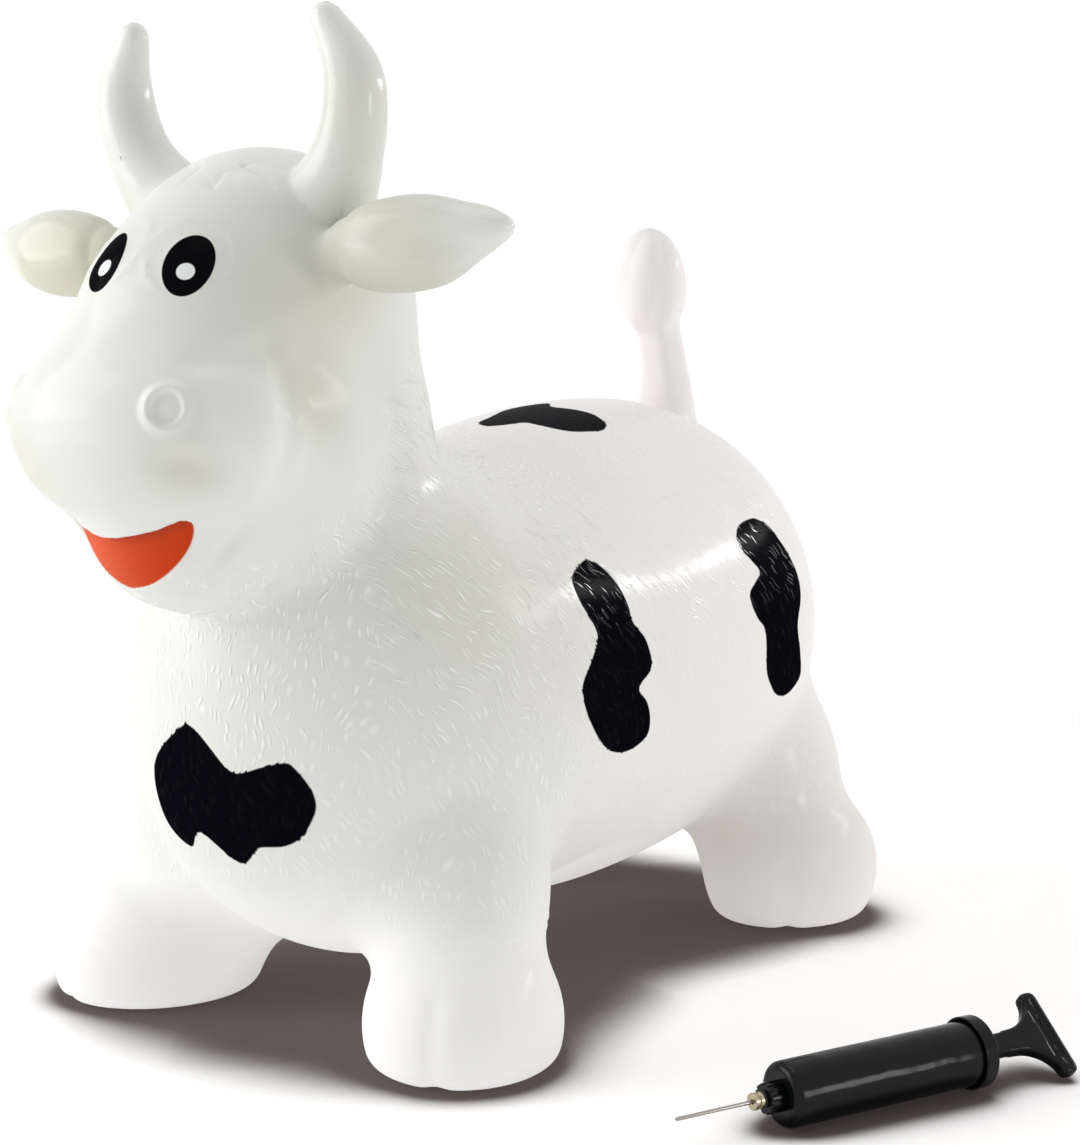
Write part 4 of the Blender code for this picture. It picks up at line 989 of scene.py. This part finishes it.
# Pump nose: a ribbed black boss that is screwed into the barrel's front and takes the needle.
NOSE_CORNERS = ((2.7, 4.5), (5, 4.5), (5, -0.3), (7.6, -0.3), (7.6, -8.8), (2.7, -8.8))
NOSE_RIBS, NOSE_RIB_HEIGHT = 12, 0.8

nose_profile = rounded(NOSE_CORNERS, 0.5)
nose_angles = np.linspace(0, math.tau, NOSE_RIBS * 16, endpoint=False)
rib = ramp(np.cos(nose_angles * NOSE_RIBS), -0.55, 0.15)
ribbed = (nose_profile[:, :1] > 6.5) * NOSE_RIB_HEIGHT * (1 - rib)
show_turned("pump_nose_boss", nose_profile, plastic, "pump_nose", radii=nose_profile[:, :1] - ribbed,
            angles=nose_angles)


# Needle, its foot and its washer: a turned brass foot with a groove, a thin polished steel tube pressed
# into it, and a black rubber ring that seals the foot against the nose.
WASHER_CORNERS = ((4.2, -9.1), (4.2, -10.3), (2.6, -10.3), (2.6, -9.1))
FOOT_CORNERS = ((0.6, -4.6), (2.3, -4.6), (2.3, -10.6), (4.2, -10.6), (4.2, -12.6), (3.4, -12.6),
                (3.4, -13.8), (4.2, -13.8), (4.2, -15.8), (1.25, -15.8), (1.25, -11.8), (0.6, -11.8))
NEEDLE_PROFILE = ((0.6, -12.1), (0.95, -12.1), (0.95, -57.85), (0.85, -58.4), (0.6, -58.75), (0.36, -58.8),
                  (0.35, -57.85), (0.6, -57.8))
SEAL_COLOUR, SEAL_WEAR = (0.016, 0.016, 0.016, 1), (0.6, 0.12, 120.0, 0.00004)
BRASS_COLOUR, BRASS_WEAR = (0.42, 0.36, 0.25, 1), (0.26, 0.14, 150.0, 0.00002)
STEEL_COLOUR, STEEL_WEAR = (0.33, 0.31, 0.29, 1), (0.22, 0.1, 150.0, 0.00001)

black_rubber, shader = material_of("black_rubber", in_Base_Color=SEAL_COLOUR, in_IOR=1.5)
handled(shader, *SEAL_WEAR)
brass, shader = material_of("brass", in_Base_Color=BRASS_COLOUR, in_Metallic=1.0)
handled(shader, *BRASS_WEAR)
steel, shader = material_of("steel", in_Base_Color=STEEL_COLOUR, in_Metallic=1.0)
handled(shader, *STEEL_WEAR)
for name, profile, made_of in (("needle_washer", rounded(WASHER_CORNERS, 0.25), black_rubber),
                               ("needle_foot", rounded(FOOT_CORNERS, 0.25), brass),
                               ("needle", np.array(NEEDLE_PROFILE), steel)):
    show_turned(name + "_turned", profile, made_of, name, steps=48)


# Plunger: handle, neck and cross-shaped rod are one flat black moulding with softly rounded edges and a
# long shallow groove on both faces of the grip.
PLUNGER_GRAIN = 0.9
ROD_HALF, BLADE_HALF, ROD_START, ROD_END = 5.5, 1.3, 15.8, 123.1
STUD_RADIUS, STUD_START = 2.6, 7.5
NECK_HALF, NECK_START = 6.0, 122.1
GRIP_HALVES, GRIP_MIDDLE, GRIP_THICKNESS_HALF = (24.25, 5.0), 168.1, 4.0
FLARE_END, FLARE_LENGTH = 21.75, 22.0
GROOVE_HALVES, GROOVE_DEPTH = (20.0, 2.3), 1.6


def plunger_depth(points):
    """How deep points lie inside the plunger, in mm of the pump's frame, and which way is inwards.

    Neck, flare and grip are one flat outline; the flare is what an oval beside the neck leaves over.
    """
    def depth_at(points):
        x, y, z = np.abs(points[:, 0]), np.abs(points[:, 1]), points[:, 2]
        front = GRIP_MIDDLE - GRIP_HALVES[1]
        into_flare = z - front + FLARE_LENGTH
        oval = np.hypot((x - FLARE_END) / (FLARE_END - NECK_HALF), into_flare / FLARE_LENGTH) - 1
        flare = np.minimum.reduce([oval * FLARE_LENGTH, FLARE_END - x, into_flare, front + 1 - z])
        grip = rounded_least(GRIP_HALVES[0] - x, GRIP_HALVES[1] - np.abs(z - GRIP_MIDDLE), 4)[0]
        neck = np.minimum(NECK_HALF - x, np.minimum(z - NECK_START, front + 1 - z))
        outline = -rounded_least(-np.maximum(flare, grip), -neck, 2.5)[0]
        lens = 1 - (x / GROOVE_HALVES[0]) ** 2 - ((z - GRIP_MIDDLE) / GROOVE_HALVES[1]) ** 2
        thick = GRIP_THICKNESS_HALF - GROOVE_DEPTH * np.clip(lens, 0, 1) ** 0.6
        handle = rounded_least(outline, thick - y, 2.6)[0]
        cross = np.maximum(np.minimum(ROD_HALF - x, BLADE_HALF - y), np.minimum(BLADE_HALF - x, ROD_HALF - y))
        rod = np.minimum(cross, np.minimum(z - ROD_START, ROD_END - z))
        stud = np.minimum(STUD_RADIUS - np.hypot(x, y), np.minimum(z - STUD_START, ROD_START + 1 - z))
        return np.maximum(handle, np.maximum(rod, stud))
    here = depth_at(points)
    step = 0.05
    slope = np.stack([depth_at(points + np.eye(3)[i] * step) - depth_at(points - np.eye(3)[i] * step)
                      for i in range(3)], 1) / (2 * step)
    return here, slope


moulded, triangles = surface_net(plunger_depth, np.array((-26.05, -6.05, 5.3)), np.array((26.2, 6.2, 176.0)),
                                 PLUNGER_GRAIN)
moulded = settled(moulded, plunger_depth, 3)
show("plunger_moulding", on_pump(moulded), triangles, plastic, "plunger", "plunger_unit", "black_plastic", 40)


# Piston and ring: a grooved plastic disc on the rod's stud and the soft ring that seals it in the barrel.
PISTON_CORNERS = ((2.9, 15.5), (13.9, 15.5), (13.9, 12.7), (11.1, 12.7), (11.1, 9.3), (13.9, 9.3),
                  (13.9, 6.5), (2.9, 6.5))
RING_MIDDLE, RING_HALF = (12.7, 11.0), 1.3

show_turned("piston_disc", rounded(PISTON_CORNERS, 0.4), plastic, "piston", "plunger_unit", steps=72)
ring_turns = np.linspace(0, math.tau, 20, endpoint=False)
ring_profile = np.array(RING_MIDDLE) + RING_HALF * np.stack([np.cos(ring_turns), np.sin(ring_turns)], 1)
show_turned("piston_ring_rubber", ring_profile, black_rubber, "piston_ring", "plunger_unit", None, steps=72)
